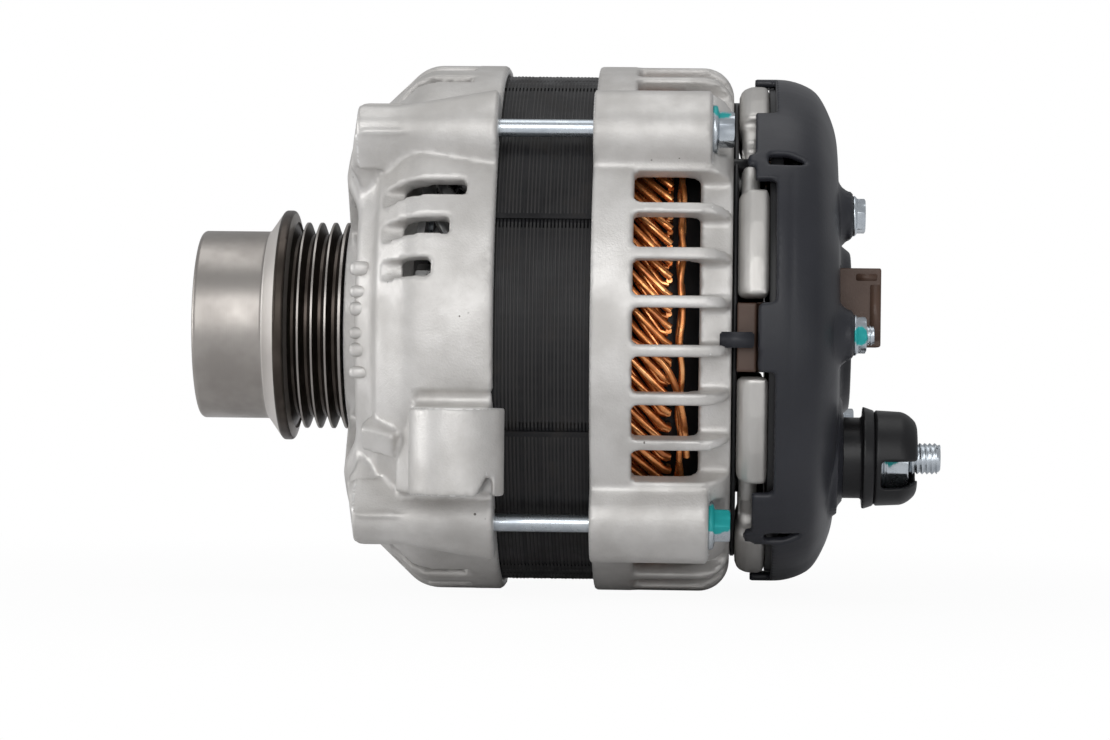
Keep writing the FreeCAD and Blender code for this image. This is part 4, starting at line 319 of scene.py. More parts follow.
# %% [markdown]
# ## Finishes, part two: the materials
#
# A bare cast housing is neither mirror nor chalk: it is metal whose sand-rough skin scatters the
# light, so it gets a middle roughness and a fine bump. Turned steel keeps the rings of the tool.
# Zinc plating is bright with a cold blue tint. Enamelled copper is clear varnish over metal, which
# is what the coat of the Principled shader stands for. Each function below builds one finish, and
# every number that is the same all over the surface is set on the shader itself.

# %% A bare material with the object's own coordinates, and what all finishes need
FINISH = {}


def bare_material(name, **settings):
    """A material for the slot of that name, which the functions below turn into a finish."""
    material = bpy.data.materials.new(name)
    FINISH[name] = material
    material.use_nodes = True
    tree = material.node_tree
    shader = tree.nodes["Principled BSDF"]
    for label, value in settings.items():
        shader.inputs[label.replace("_", " ")].default_value = value
    return tree, shader, node_of(tree, "ShaderNodeTexCoord").outputs["Object"]


def pattern(tree, group, place, **numbers):
    inputs = {label.replace("_", " "): value for label, value in numbers.items()}
    return node_of(tree, "ShaderNodeGroup", {"Place": place, **inputs}, node_tree=group).outputs


def ramp(tree, mask, *stops):
    """Colours over a mask. A stop is (position, red, green, blue)."""
    node = node_of(tree, "ShaderNodeValToRGB", {"Fac": mask})
    steps = node.color_ramp.elements
    while len(steps) < len(stops):
        steps.new(0.5)
    for step, (position, *colour) in zip(steps, stops):
        step.position = position
        step.color = (*colour, 1.0)
    return node.outputs["Color"]


def mixed(tree, mask, below, above):
    """Colour below where the mask is 0 and colour above where it is 1."""
    below, above = [(*colour, 1.0) if isinstance(colour, tuple) else colour
                    for colour in (below, above)]
    return node_of(tree, "ShaderNodeMix", {"Factor": mask, "A": below, "B": above},
                   data_type="RGBA").outputs["Result"]


def parts_of(tree, place):
    node = node_of(tree, "ShaderNodeSeparateXYZ", {"Vector": place})
    return node.outputs["X"], node.outputs["Y"], node.outputs["Z"]


def reach(tree, first, second):
    """Distance from the axis, from two of the coordinates."""
    squares = sums(tree, "MULTIPLY_ADD", second, second, sums(tree, "MULTIPLY", first, first))
    return sums(tree, "SQRT", squares)


def dress(tree, shader, colour, rough, height, depth):
    """Gives a shader its colour and roughness, and a height as a bump of that depth in metres."""
    bump = node_of(tree, "ShaderNodeBump", {"Height": height, "Distance": depth, "Strength": 1.0})
    for label, source in (("Base Color", colour), ("Roughness", rough),
                          ("Normal", bump.outputs["Normal"])):
        wire(tree, source, shader.inputs[label])


print("material helpers ready")

# %% Cast, turned and rolled metals
GROOVE_FRONT = -9.7 * MM
GROOVE_BACK = 7.1 * MM
RIDGE_TOP = 27.1 * MM
FLANGE_CREST = 29.6 * MM
CONE_START = 24.9 * MM
CORE_VARNISHED = 65.95 * MM
CORE_WORN = 66.10 * MM


def cast_aluminium():
    """Sand-rough casting, brighter and smoother where a mill has cut it."""
    tree, shader, place = bare_material("cast_aluminium", Metallic=0.55)
    grain = pattern(tree, CAST_GRAIN, place, Grain_Scale=1700.0, Blotch_Scale=60.0)
    skin = ramp(tree, grain["Blotch"], (0.0, 0.50, 0.485, 0.465), (0.55, 0.58, 0.565, 0.545),
                (1.0, 0.65, 0.635, 0.615))
    milled = node_of(tree, "ShaderNodeAttribute", attribute_name="milled")
    cut = stretch(tree, milled.outputs["Fac"], 0.3, 0.9)
    skin = mixed(tree, cut, skin, (0.74, 0.73, 0.715))
    rough = stretch(tree, grain["Blotch"], 0.0, 1.0, 0.56, 0.46)
    softer = sums(tree, "MULTIPLY_ADD", cut, -0.7, 1.0)
    dress(tree, shader, mixed(tree, grain["Pits"], skin, (0.16, 0.15, 0.14)),
          sums(tree, "MULTIPLY_ADD", cut, -0.12, rough),
          sums(tree, "MULTIPLY", grain["Height"], softer), 0.00009)


def sink_aluminium():
    """Tumbled aluminium: brighter and smoother than the castings."""
    tree, shader, place = bare_material("sink_aluminium", Metallic=0.85)
    drawn = scaled_place(tree, place, (1.0, 0.15, 0.15))
    lines = pattern(tree, CAST_GRAIN, drawn, Grain_Scale=1500.0, Blotch_Scale=110.0)
    dress(tree, shader,
          ramp(tree, lines["Blotch"], (0.0, 0.46, 0.445, 0.425), (1.0, 0.60, 0.585, 0.56)),
          stretch(tree, lines["Blotch"], 0.0, 1.0, 0.56, 0.46), lines["Height"], 0.00005)


def pulley_steel():
    """Turned steel with a dark coat in the grooves, worn off the ridges, and a painted highlight
    on the cone.
    """
    tree, shader, place = bare_material("pulley_steel", Metallic=0.85)
    marks = pattern(tree, TURNING_MARKS, place, Ring_Scale=2600.0, Cloud_Scale=70.0)
    along, across, up = parts_of(tree, place)
    radius = reach(tree, across, up)
    inside = sums(tree, "MULTIPLY", sums(tree, "GREATER_THAN", along, GROOVE_FRONT),
                  sums(tree, "LESS_THAN", along, GROOVE_BACK))
    deep = stretch(tree, radius, RIDGE_TOP - 0.12 * MM, RIDGE_TOP, 1.0, 0.0)
    crest = sums(tree, "GREATER_THAN", radius, FLANGE_CREST)
    coated = sums(tree, "MULTIPLY", inside, sums(tree, "MAXIMUM", deep, crest))
    steel = ramp(tree, marks["Cloud"], (0.0, 0.31, 0.288, 0.268), (1.0, 0.40, 0.374, 0.35))
    coat = ramp(tree, marks["Cloud"], (0.0, 0.042, 0.034, 0.028), (1.0, 0.085, 0.070, 0.060))
    # The cone ahead of the grooves gets a brighter steel colour: a painted highlight for the light
    # from the left.
    painted_highlight_cone = sums(tree, "MULTIPLY", sums(tree, "LESS_THAN", along, GROOVE_FRONT),
                sums(tree, "GREATER_THAN", radius, CONE_START))
    steel = mixed(tree, painted_highlight_cone, steel, (0.66, 0.63, 0.60))
    rough = stretch(tree, marks["Cloud"], 0.0, 1.0, 0.42, 0.33)
    dress(tree, shader, mixed(tree, coated, steel, coat),
          sums(tree, "MULTIPLY_ADD", painted_highlight_cone, 0.12, rough), marks["Height"], 0.00002)


def turned_steel(name, dark, bright, rough, metallic=1.0):
    """Plain turned or ground steel, from one colour to another over soft clouds."""
    tree, shader, place = bare_material(name, Metallic=metallic)
    marks = pattern(tree, TURNING_MARKS, place, Ring_Scale=3000.0, Cloud_Scale=90.0)
    dress(tree, shader, ramp(tree, marks["Cloud"], (0.0, *dark), (1.0, *bright)),
          stretch(tree, marks["Cloud"], 0.0, 1.0, rough + 0.06, rough - 0.05),
          marks["Height"], 0.00001)


def core_steel():
    """Black varnish over the edges of the laminations, worn grey on the edges that stand proud."""
    tree, shader, place = bare_material(
        "core_steel", Metallic=0.0, Specular_IOR_Level=0.2)
    marks = pattern(tree, TURNING_MARKS, place, Ring_Scale=1500.0, Cloud_Scale=120.0)
    dark = ramp(tree, marks["Cloud"], (0.0, 0.006, 0.006, 0.007), (0.7, 0.010, 0.010, 0.011),
                (1.0, 0.018, 0.016, 0.015))
    worn = stretch(tree, reach(tree, *parts_of(tree, place)[1:]), CORE_VARNISHED, CORE_WORN)
    dress(tree, shader, mixed(tree, worn, dark, (0.030, 0.029, 0.029)),
          stretch(tree, marks["Cloud"], 0.0, 1.0, 0.34, 0.50), marks["Height"], 0.00006)


# %% Zinc plating with dabs of marking paint
PAINT = (0.01, 0.36, 0.36)
# Where an inspector has dabbed bolts and nuts, and how wide, in mm
PAINT_DABS = (
    ((105.5, -53.0, 54.5), 2.6), ((105.5, -54.5, -47.5), 4.2),
    ((105.5, 53.0, 54.5), 3.0), ((105.5, 53.0, -52.5), 3.4),
    ((149.2, -31.6, -32.5), 2.2), ((140.2, -50.2, -1.8), 2.4), ((140.4, 43.5, -24.0), 2.2),
)


def dab(tree, place, centre, size):
    """A mask that is 1 inside a brush dab of that size round a point, with a ragged edge."""
    away = node_of(tree, "ShaderNodeVectorMath", {
        0: place, 1: [number * MM for number in centre]}, operation="DISTANCE")
    ragged = sums(tree, "MULTIPLY_ADD", noise(tree, place, 420.0, 3.0), 2.4 * MM,
                  away.outputs["Value"])
    return stretch(tree, ragged, (size + 0.9) * MM, (size + 1.5) * MM, 1.0, 0.0)


def zinc_plate(name):
    """Bright plating with a cold tint and the paint dabs over it."""
    tree, shader, place = bare_material(name, Metallic=0.95)
    cloud = noise(tree, place, 160.0, 3.0, 0.6)
    zinc = ramp(tree, cloud, (0.3, 0.50, 0.55, 0.60), (0.7, 0.70, 0.75, 0.79))
    rough = stretch(tree, cloud, 0.3, 0.7, 0.34, 0.22)
    masks = [dab(tree, place, centre, size) for centre, size in PAINT_DABS]
    paint = masks[0]
    for mask in masks[1:]:
        paint = sums(tree, "MAXIMUM", paint, mask)
    wire(tree, sums(tree, "MULTIPLY_ADD", paint, -0.8, 0.95), shader.inputs["Metallic"])
    dress(tree, shader, mixed(tree, paint, zinc, PAINT),
          sums(tree, "MULTIPLY_ADD", paint, 0.18, rough), noise(tree, place, 2600.0), 0.00001)


# %% Copper, varnish, plastics and carbon
def wire_finish(name, dark, middle, bright, rough, metallic, coat):
    """Enamelled or varnished wire, each with its own shade along the winding."""
    tree, shader, place = bare_material(
        name, Metallic=metallic, Coat_Weight=coat, Coat_Roughness=0.12)
    shade = noise(tree, place, 240.0)
    dress(tree, shader, ramp(tree, shade, (0.32, *dark), (0.5, *middle), (0.68, *bright)),
          stretch(tree, shade, 0.3, 0.7, rough + 0.08, rough - 0.06),
          noise(tree, place, 900.0), 0.00005)


def moulded(name, dark, bright, rough, pebble=1400.0, depth=0.00003, metallic=0.0):
    """Moulded plastic with a pebbled face and slow changes of sheen."""
    tree, shader, place = bare_material(
        name, Metallic=metallic, Specular_IOR_Level=0.35)
    face = pattern(tree, MOULD_TEXTURE, place, Pebble_Scale=pebble, Sheen_Scale=35.0)
    dress(tree, shader, ramp(tree, face["Sheen"], (0.0, *dark), (1.0, *bright)),
          stretch(tree, face["Sheen"], 0.0, 1.0, rough + 0.05, rough - 0.05),
          face["Height"], depth)


cast_aluminium()
sink_aluminium()
pulley_steel()
core_steel()
zinc_plate("zinc_steel")
turned_steel("plain_steel", (0.36, 0.36, 0.36), (0.52, 0.52, 0.51), 0.32)
turned_steel("bearing_steel", (0.58, 0.58, 0.59), (0.72, 0.72, 0.72), 0.16)
turned_steel("dark_steel", (0.010, 0.010, 0.011), (0.024, 0.023, 0.023), 0.42, 0.3)
turned_steel("pole_iron", (0.16, 0.15, 0.145), (0.27, 0.26, 0.25), 0.48)
wire_finish("copper", (0.42, 0.13, 0.035), (0.72, 0.27, 0.08), (0.93, 0.45, 0.18), 0.27, 0.9, 0.5)
wire_finish("varnished_copper", (0.05, 0.05, 0.052), (0.13, 0.13, 0.13), (0.24, 0.24, 0.235),
            0.33, 0.55, 0.6)
moulded("cover_plastic", (0.017, 0.018, 0.023), (0.026, 0.027, 0.033), 0.40, 1600.0)
moulded("black_plastic", (0.006, 0.006, 0.007), (0.012, 0.012, 0.013), 0.38)
moulded("brown_plastic", (0.060, 0.034, 0.024), (0.105, 0.064, 0.046), 0.42)
moulded("bobbin_plastic", (0.42, 0.37, 0.28), (0.56, 0.50, 0.40), 0.5)
moulded("carbon", (0.030, 0.028, 0.028), (0.075, 0.060, 0.052), 0.55, 2600.0, 0.00004, 0.4)
print("finishes:", sorted(FINISH))

# %% [markdown]
# ## Finish every solid that stays
#
# Most solids already have the right shape. They keep their CAD mesh and only take a finish. The
# record says which material slot each of them uses, and each finish above carries the name of such
# a slot, so one loop dresses them all. The pieces that follow then replace the solids whose shape
# needs more than CAD gives.

# %% Give each solid its finish
for name, node in nodes.items():
    for holder in node.material_slots:
        holder.material = FINISH[holder.material.name.split(".")[0]]
print("dressed", len(nodes), "solids")

# %% [markdown]
# ## Tools for new pieces
#
# A piece is finished when it is one plain mesh, sits at the origin unturned, rides on a body,
# names the material slot it takes, and hides the solid it stands for. One function does all of
# that, so no step can be forgotten. Shapes that repeat are Geometry Nodes trees: the shape is
# modelled once, and numbers with names say how many there are and where.

# %% Helpers for pieces
def solid_box(name):
    """Lowest and highest corner of a CAD solid in mm."""
    low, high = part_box(name)
    return [value / MM for value in low], [value / MM for value in high]


def to_mesh(made, name):
    mesh = bpy.data.meshes.new(name)
    made.to_mesh(mesh)
    made.free()
    return mesh


def joined(name, meshes):
    """One mesh from several."""
    made = bmesh.new()
    for mesh in meshes:
        made.from_mesh(mesh)
    return to_mesh(made, name)


def put(name, mesh, slot, body="root", stands_for=()):
    """Makes a mesh, or several of them joined, a finished piece of the object."""
    if isinstance(mesh, list):
        mesh = joined(name, mesh)
    for polygon in mesh.polygons:
        polygon.use_smooth = True
    mesh.materials.clear()
    mesh.materials.append(FINISH[slot])
    piece = in_scene(name, mesh)
    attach(piece, body)
    if stands_for:
        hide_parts(*stands_for)
    mesh.calc_loop_triangles()
    print(f"{name}: {len(mesh.loop_triangles)} triangles")
    return piece


def around(place, angle, radius):
    """A point in metres: mm along the shaft, degrees above the near side, mm from the axis."""
    turn = math.radians(angle)
    return (place * MM, -radius * MM * math.cos(turn), radius * MM * math.sin(turn))


def off_line(place, radius, turn, centre):
    """A point in metres beside a line along X: mm along it, mm from it, and a turn in radians."""
    return (place * MM, (centre[0] + radius * math.cos(turn)) * MM,
            (centre[1] + radius * math.sin(turn)) * MM)


def lathe(name, points, steps=96, closed=True, centre=(0.0, 0.0)):
    """A mesh turned about a line along X. Points are (place, radius) in mm.

    A point may also be a function that gives that pair for an angle, as a hexagon needs.
    """
    made = bmesh.new()
    rings = []
    for number in range(steps):
        turn = 2.0 * math.pi * number / steps
        outline = [point(turn) if callable(point) else point for point in points]
        rings.append([made.verts.new(off_line(place, radius, turn, centre))
                      for place, radius in outline])
    spans = len(points) if closed else len(points) - 1
    for number in range(steps):
        here, ahead = rings[number], rings[(number + 1) % steps]
        for index in range(spans):
            after = (index + 1) % len(points)
            made.faces.new((here[index], here[after], ahead[after], ahead[index]))
    # Points on the line itself fall together
    bmesh.ops.remove_doubles(made, verts=made.verts, dist=1e-7)
    bmesh.ops.recalc_face_normals(made, faces=made.faces)
    return to_mesh(made, name)


def put_ring(name, outline):
    """A thin dark ring round the shaft, turned from an outline in mm."""
    put(name, lathe(name, outline, 120), "black_plastic")


# %% Helpers that end in a plain mesh
def plain_mesh(holder):
    """The mesh that an object's curve or modifiers make. The object itself goes."""
    found = holder.evaluated_get(bpy.context.evaluated_depsgraph_get())
    mesh = bpy.data.meshes.new_from_object(found)
    bpy.data.objects.remove(holder)
    return mesh


def reworked(mesh, kind, **settings):
    """The mesh after a modifier of that kind."""
    holder = in_scene(mesh.name, mesh)
    modifier = holder.modifiers.new("rework", kind)
    for label, value in settings.items():
        setattr(modifier, label, value)
    return plain_mesh(holder)


def grow(name, tree, mesh, **values):
    """Runs a Geometry Nodes tree on a mesh and gives back the plain mesh that comes out."""
    holder = in_scene(name, mesh)
    modifier = holder.modifiers.new("grow", "NODES")
    modifier.node_group = tree
    for item in tree.interface.items_tree:
        if item.in_out == "INPUT" and item.name in values:
            modifier[item.identifier] = values[item.name]
    return plain_mesh(holder)


def geometry_tree(name, numbers):
    """A Geometry Nodes tree that takes a mesh, numbers and a material, and gives out a mesh."""
    shape = ("Geometry", "Geometry")
    return node_tree(name, "GeometryNodeTree",
                     [(*shape, None), *numbers, ("Material", "Material", None)], [shape])


def give_instances(tree, placed, given, result):
    """Makes instances real, gives them the material and links them to the tree's output."""
    real = node_of(tree, "GeometryNodeRealizeInstances", {"Geometry": placed.outputs["Instances"]})
    dressed = node_of(tree, "GeometryNodeSetMaterial", {
        "Geometry": real.outputs["Geometry"], "Material": given["Material"]})
    tree.links.new(dressed.outputs["Geometry"], result["Geometry"])


def wire_mesh(name, points, thick, kind, **settings):
    """A round wire through points in metres, drawn as that kind of spline. thick is in mm."""
    curve = bpy.data.curves.new(name, "CURVE")
    curve.dimensions = "3D"
    curve.bevel_depth = thick / 2 * MM
    curve.bevel_resolution = 2
    curve.use_fill_caps = True
    line = curve.splines.new(kind)
    line.points.add(len(points) - 1)
    for point, place in zip(line.points, points):
        point.co = (*place, 1.0)
    for label, value in settings.items():
        setattr(line, label, value)
    return plain_mesh(in_scene(name, curve))


print("piece tools ready")

# %% [markdown]
# ## The cast housings
#
# CAD edges are sharp, but a sand or die casting has none: metal shrinks away from every corner,
# and each edge is a small round. Bevelling thousands of boolean edges one by one fails where they
# meet. A voxel remesh treats the whole casting as one lump instead: it fills it with a fine grid,
# and smoothing that grid rounds every edge alike. Then each point that still lies almost on the
# CAD surface is laid back on it, so flats stay flat and bores stay round, and only the edges give
# way. Faces that a mill has cut, such as rims, lug faces and bolt seats, are marked by an
# attribute, which the material turns into a brighter metal.
#
# On both sides of the pulley the front face lies a little further back in the photograph than in
# the CAD model. The casting is drawn back there, between the bearing hub and the shoulder.

# %% Round the castings
MOST_TRIANGLES = 190000
SAME_POINT = 0.002 * MM
RELAXED = 0.6
FACE_DRAWN_BACK = 4.0


def places_of(mesh):
    """The vertices of a mesh in metres, one row each."""
    places = np.empty(len(mesh.vertices) * 3)
    mesh.vertices.foreach_get("co", places)
    return places.reshape(-1, 3)


def reshape(mesh, along, across, up):
    """Moves the vertices of a mesh to new places in mm."""
    mesh.vertices.foreach_set("co", (np.stack([along, across, up], 1) * MM).ravel())


def cast_copy(name, voxel, rounds, keep):
    """A copy of a CAD solid with rounded edges, and the three coordinates of its points in mm.

    voxel is the size of the grid in mm and rounds how often it is smoothed. A point up to keep mm
    from the CAD surface is laid back on it, and one further off less and less, up to twice that.
    """
    made = bmesh.new()
    made.from_mesh(nodes[name].data)
    bmesh.ops.remove_doubles(made, verts=made.verts, dist=SAME_POINT)
    surface = BVHTree.FromBMesh(made)
    fine = reworked(to_mesh(made, name + "_grid"), "REMESH", mode="VOXEL",
                    voxel_size=voxel * MM, adaptivity=0.0)
    places = places_of(fine)
    pairs = np.empty(len(fine.edges) * 2, dtype=int)
    fine.edges.foreach_get("vertices", pairs)
    pairs = pairs.reshape(-1, 2)
    count = np.bincount(pairs.ravel(), minlength=len(places))[:, None]
    for _ in range(rounds):
        middle = np.zeros_like(places)
        np.add.at(middle, pairs[:, 0], places[pairs[:, 1]])
        np.add.at(middle, pairs[:, 1], places[pairs[:, 0]])
        places = places * (1.0 - RELAXED) + RELAXED * middle / count
    for number, point in enumerate(places):
        nearest, _, _, away = surface.find_nearest(Vector(point))
        if nearest is not None:
            share = min(max(2.0 - away / (keep * MM), 0.0), 1.0)
            places[number] = point + (np.array(nearest) - point) * share
    fine.vertices.foreach_set("co", places.ravel())
    fine.update()
    fine.calc_loop_triangles()
    if len(fine.loop_triangles) > MOST_TRIANGLES:
        fine = reworked(fine, "DECIMATE", ratio=MOST_TRIANGLES / len(fine.loop_triangles))
    return fine, places_of(fine).T / MM


def mark_milled(mesh, milled):
    attribute = mesh.attributes.new("milled", "FLOAT", "POINT")
    attribute.data.foreach_set("value", milled.astype(np.float32))


def soft_step(values, start, end):
    """0 before start, 1 past end, and a smooth change between them. end may be below start."""
    share = np.clip((values - start) / (end - start), 0.0, 1.0)
    return share * share * (3.0 - 2.0 * share)


def close_to(values, level, within=0.12):
    return np.abs(values - level) < within


mesh, (along, across, up) = cast_copy("front_housing", voxel=0.80, rounds=2, keep=0.18)
distance = np.hypot(across, up)
rim = close_to(along, 49.5)
lug_sides = (np.abs(across) > 64.5) & (close_to(up, -20.6) | close_to(up, -41.9))
bolt_bosses = (distance > 64.0) & close_to(along, 14.0)
hub = (distance < 32.0) & (along < 8.7)
mark_milled(mesh, rim | lug_sides | bolt_bosses | hub)
# Both sides of the pulley, between the hub and the shoulder, and only the front of the casting
angle = np.degrees(np.arctan2(np.abs(up), np.abs(across)))
sunk = soft_step(angle, 52.0, 34.0) * soft_step(distance, 28.6, 32.0)
sunk *= soft_step(distance, 62.0, 54.0) * soft_step(along, 24.0, 18.0)
reshape(mesh, along + FACE_DRAWN_BACK * sunk, across, up)
put("front_housing_cast", mesh, "cast_aluminium", stands_for=["front_housing"])

mesh, (along, across, up) = cast_copy("rear_housing", voxel=0.80, rounds=2, keep=0.18)
bolt_seats = (np.hypot(across, up) > 61.0) & close_to(along, 103.0)
mark_milled(mesh, close_to(along, 73.3) | bolt_seats)
put("rear_housing_cast", mesh, "cast_aluminium", stands_for=["rear_housing"])

# %% [markdown]
# ## Lamination edges
#
# The band between the housings is the edge of many steel sheets, stacked and pressed in packs.
# Their edges never line up: each sheet stands a few hundredths of a millimetre proud of the next,
# and that is what catches the light in fine lines. A texture could draw lines, but real steps also
# shade and break the outline. One thin ring is modelled, and a Geometry Nodes tree repeats it
# along the shaft and gives each ring its own small growth from a fixed seed. Eight narrow grooves
# along the stack show where it is welded.

# %% A stack of rings
SHEET = 0.915
SHEET_COUNT = 26
EDGE = 66.14
EDGE_FOOT = 0.55
WELD_HALF_WIDTH = 0.8
WELDS = [math.radians(angle) for angle in (24, 74, 106, 156, 204, 254, 286, 336)]


def ring_stack_tree():
    tree, given, result = geometry_tree("ring_stack", (
        ("Count", "Int", 40), ("Start", "Float", 0.0), ("Pitch", "Float", 0.0006),
        ("Growth", "Float", 0.001), ("Seed", "Int", 7)))
    row = node_of(tree, "GeometryNodeMeshLine", {
        "Count": given["Count"], "Start Location": vector(tree, given["Start"]),
        "Offset": vector(tree, given["Pitch"])})
    chance = node_of(tree, "FunctionNodeRandomValue", {
        2: sums(tree, "SUBTRACT", 1.0, given["Growth"]), 3: 1.0, "Seed": given["Seed"]},
        data_type="FLOAT").outputs[1]
    placed = node_of(tree, "GeometryNodeInstanceOnPoints", {
        "Points": row.outputs["Mesh"], "Instance": given["Geometry"],
        "Scale": vector(tree, 1.0, chance, chance)})
    give_instances(tree, placed, given, result)
    return tree


def edge_point(place, sunk):
    """A point of the sheet edge that dips where the stack is welded."""
    def found(turn):
        away = min(abs(math.remainder(turn - weld, 2.0 * math.pi)) for weld in WELDS)
        return place, EDGE - max(sunk, EDGE_FOOT if away * EDGE < WELD_HALF_WIDTH else 0.0)
    return found


sheet_edge = lathe("sheet_edge", [
    edge_point(0.0, EDGE_FOOT), edge_point(0.16, 0.10), edge_point(0.30, 0.0),
    edge_point(SHEET - 0.30, 0.0), edge_point(SHEET - 0.16, 0.10),
    edge_point(SHEET, EDGE_FOOT)], 288, closed=False)
stack = grow("lamination_stack", ring_stack_tree(), sheet_edge, Count=SHEET_COUNT,
             Start=49.55 * MM, Pitch=SHEET * MM, Growth=0.0022, Seed=11,
             Material=FINISH["core_steel"])
put("lamination_edges", stack, "core_steel")

# %% [markdown]
# ## Windings
#
# A bar winding is a crown of equal strands. On the front side each strand is a hairpin: it leaves
# its slot, leans over to the side, turns through a bend at the crown and leans on into the inner
# layer. On the rear side the free ends of the bars all lean one way, in two layers, and are welded
# in pairs at their tips. A dark collar of insulating sheet lines both crowns and keeps the fans'
# air off the wires. Each strand is drawn once, as a line through a few points. One tree serves all
# of them: it rounds the corners of the line, sweeps the section of the wire along it and repeats
# it round the shaft.

# %% A ring of swept strands
CORNER_SHARE = 0.24


def strand_ring_tree():
    tree, given, result = geometry_tree("strand_ring", (
        ("Count", "Int", 36), ("Turn", "Float", 0.0), ("Bend", "Float", 0.002),
        ("Wide", "Float", 0.0016), ("High", "Float", 0.0016), ("Sway", "Float", 0.0),
        ("Seed", "Int", 3)))
    line = node_of(tree, "GeometryNodeMeshToCurve", {"Mesh": given["Geometry"]})
    round_line = node_of(tree, "GeometryNodeFilletCurve", {
        "Curve": line.outputs["Curve"], "Radius": given["Bend"], "Count": 3}, mode="POLY")
    # Section sides stay square to the shaft's radius: first side outward, second side round
    upright = node_of(tree, "GeometryNodeSetCurveNormal", {"Curve": round_line.outputs["Curve"]},
                      mode="Z_UP")
    section = node_of(tree, "GeometryNodeCurvePrimitiveQuadrilateral", {
        "Width": given["Wide"], "Height": given["High"]})
    soft = node_of(tree, "GeometryNodeFilletCurve", {
        "Curve": section.outputs["Curve"], "Count": 1,
        "Radius": sums(tree, "MULTIPLY", given["Wide"], CORNER_SHARE)}, mode="POLY")
    swept = node_of(tree, "GeometryNodeCurveToMesh", {
        "Curve": upright.outputs["Curve"], "Profile Curve": soft.outputs["Curve"],
        "Fill Caps": True})
    points = node_of(tree, "GeometryNodePoints", {"Count": given["Count"]})
    index = node_of(tree, "GeometryNodeInputIndex")
    pitch = sums(tree, "DIVIDE", 2.0 * math.pi, given["Count"])
    sway = node_of(tree, "FunctionNodeRandomValue", {
        2: sums(tree, "MULTIPLY", given["Sway"], -1.0), 3: given["Sway"], "Seed": given["Seed"]},
        data_type="FLOAT").outputs[1]
    turn = sums(tree, "MULTIPLY_ADD", index.outputs[0], pitch,
                sums(tree, "ADD", given["Turn"], sway))
    placed = node_of(tree, "GeometryNodeInstanceOnPoints", {
        "Points": points.outputs[0], "Instance": swept.outputs["Mesh"],
        "Rotation": vector(tree, turn)})
    give_instances(tree, placed, given, result)
    return tree


STRANDS = strand_ring_tree()


def strands(name, stops, material, count, wide, high, seed, bend=0.0, sway=0.0, turn=0.0):
    """A ring of strands. Each stop is mm along the shaft, degrees, and mm from the axis.

    The section and the bend are in mm, the sway of each strand and the turn of all in radians.
    """
    line = bpy.data.meshes.new(name)
    line.from_pydata([around(*stop) for stop in stops],
                     [(number, number + 1) for number in range(len(stops) - 1)], [])
    return grow(name, STRANDS, line, Count=count, Turn=turn, Bend=bend * MM, Wide=wide * MM,
                High=high * MM, Sway=sway, Seed=seed, Material=FINISH[material])


# %% Front hairpins
hairpins = strands("front_hairpins", [
    (43.2, -15.0, 60.6), (41.4, -15.0, 60.6), (34.2, -2.6, 60.6), (32.0, 0.0, 58.6),
    (34.2, 2.6, 56.6), (41.4, 15.0, 56.6), (43.2, 15.0, 56.6)], "varnished_copper",
    count=36, wide=2.8, high=2.8, seed=5, bend=1.6, sway=0.006)
second = strands("second_hairpins", [
    (43.2, 15.0, 58.6), (41.0, 15.0, 58.6), (35.6, 3.0, 58.6), (34.6, 0.0, 58.6)],
    "varnished_copper", count=36, wide=2.4, high=1.3, seed=6, bend=1.6, sway=0.004,
    turn=math.radians(5.0))
put("winding_front_bars", [hairpins, second], "varnished_copper", stands_for=["winding_front"])

# %% Rear bar ends, their welds, the bars in the slots and the leads
outer = strands("rear_outer_bars", [
    (79.6, 6.4, 60.9), (81.0, 6.4, 60.9), (91.6, -3.6, 60.9), (93.0, -4.6, 60.4)],
    "copper", count=90, wide=1.7, high=1.7, seed=8, bend=3.0, sway=0.007)
inner = strands("rear_inner_bars", [
    (79.6, 8.2, 58.7), (81.0, 8.2, 58.7), (90.6, -5.4, 58.7), (92.6, -5.8, 58.8)],
    "copper", count=90, wide=1.7, high=1.7, seed=9, bend=1.2, sway=0.002)
welds = strands("rear_welds", [(92.7, -5.0, 57.8), (92.7, -5.0, 60.3)], "copper",
                count=90, wide=1.4, high=1.4, seed=10, sway=0.002)
bars = strands("slot_bars", [(43.1, 0.0, 57.9), (79.7, 0.0, 57.9)], "copper",
               count=36, wide=8.0, high=3.8, seed=1)


def lead_wire(name, stops, thick):
    """A round wire on a smooth curve through the stops, which are as for strands."""
    return wire_mesh(name, [around(*stop) for stop in stops], thick, "NURBS",
                     order_u=3, use_endpoint_u=True, resolution_u=6)


ring_lead = lead_wire("ring_lead", [
    (95.2 + (number % 2) * 1.2, 52.0 - 7.0 * number, 61.2) for number in range(16)], 1.6)
second_lead = lead_wire("second_lead", [
    (96.2 - (number % 3) * 0.7, 44.0 - 6.0 * number, 59.4) for number in range(15)], 1.6)
tail_lead = lead_wire("tail_lead", [
    (83.0, -3.0, 62.6), (88.0, -5.5, 63.2), (92.5, -9.0, 63.2), (95.5, -16.0, 62.8),
    (97.0, -24.0, 62.2), (97.4, -32.0, 61.0)], 1.7)
put("winding_rear_bars", [outer, inner, welds, bars, ring_lead, second_lead, tail_lead],
    "copper", stands_for=["winding_rear"])

# %% Insulating collars inside the bar ends
put_ring("rear_collar", [(80.2, 55.3), (80.2, 57.2), (96.0, 57.2), (96.6, 56.6), (100.6, 54.8),
                         (100.6, 53.9), (96.4, 55.5), (80.4, 55.3)])
put_ring("front_collar", [(33.6, 55.0), (42.9, 55.0), (42.9, 55.9), (33.6, 55.9), (33.2, 55.45)])

# %% [markdown]
# ## Bolts, studs, nuts and the thread of the output stud
#
# Fasteners are where a model looks cheap first: a real hexagon has its six corners turned off,
# stands on a washer flange, and the stud in it ends in a thread. The hexagon is a turned shape
# too, only its radius changes with the angle, so the same lathe makes it. The thread is one strip
# that winds round the stud, root beside crest, which costs few faces and catches the light like a
# cut thread.

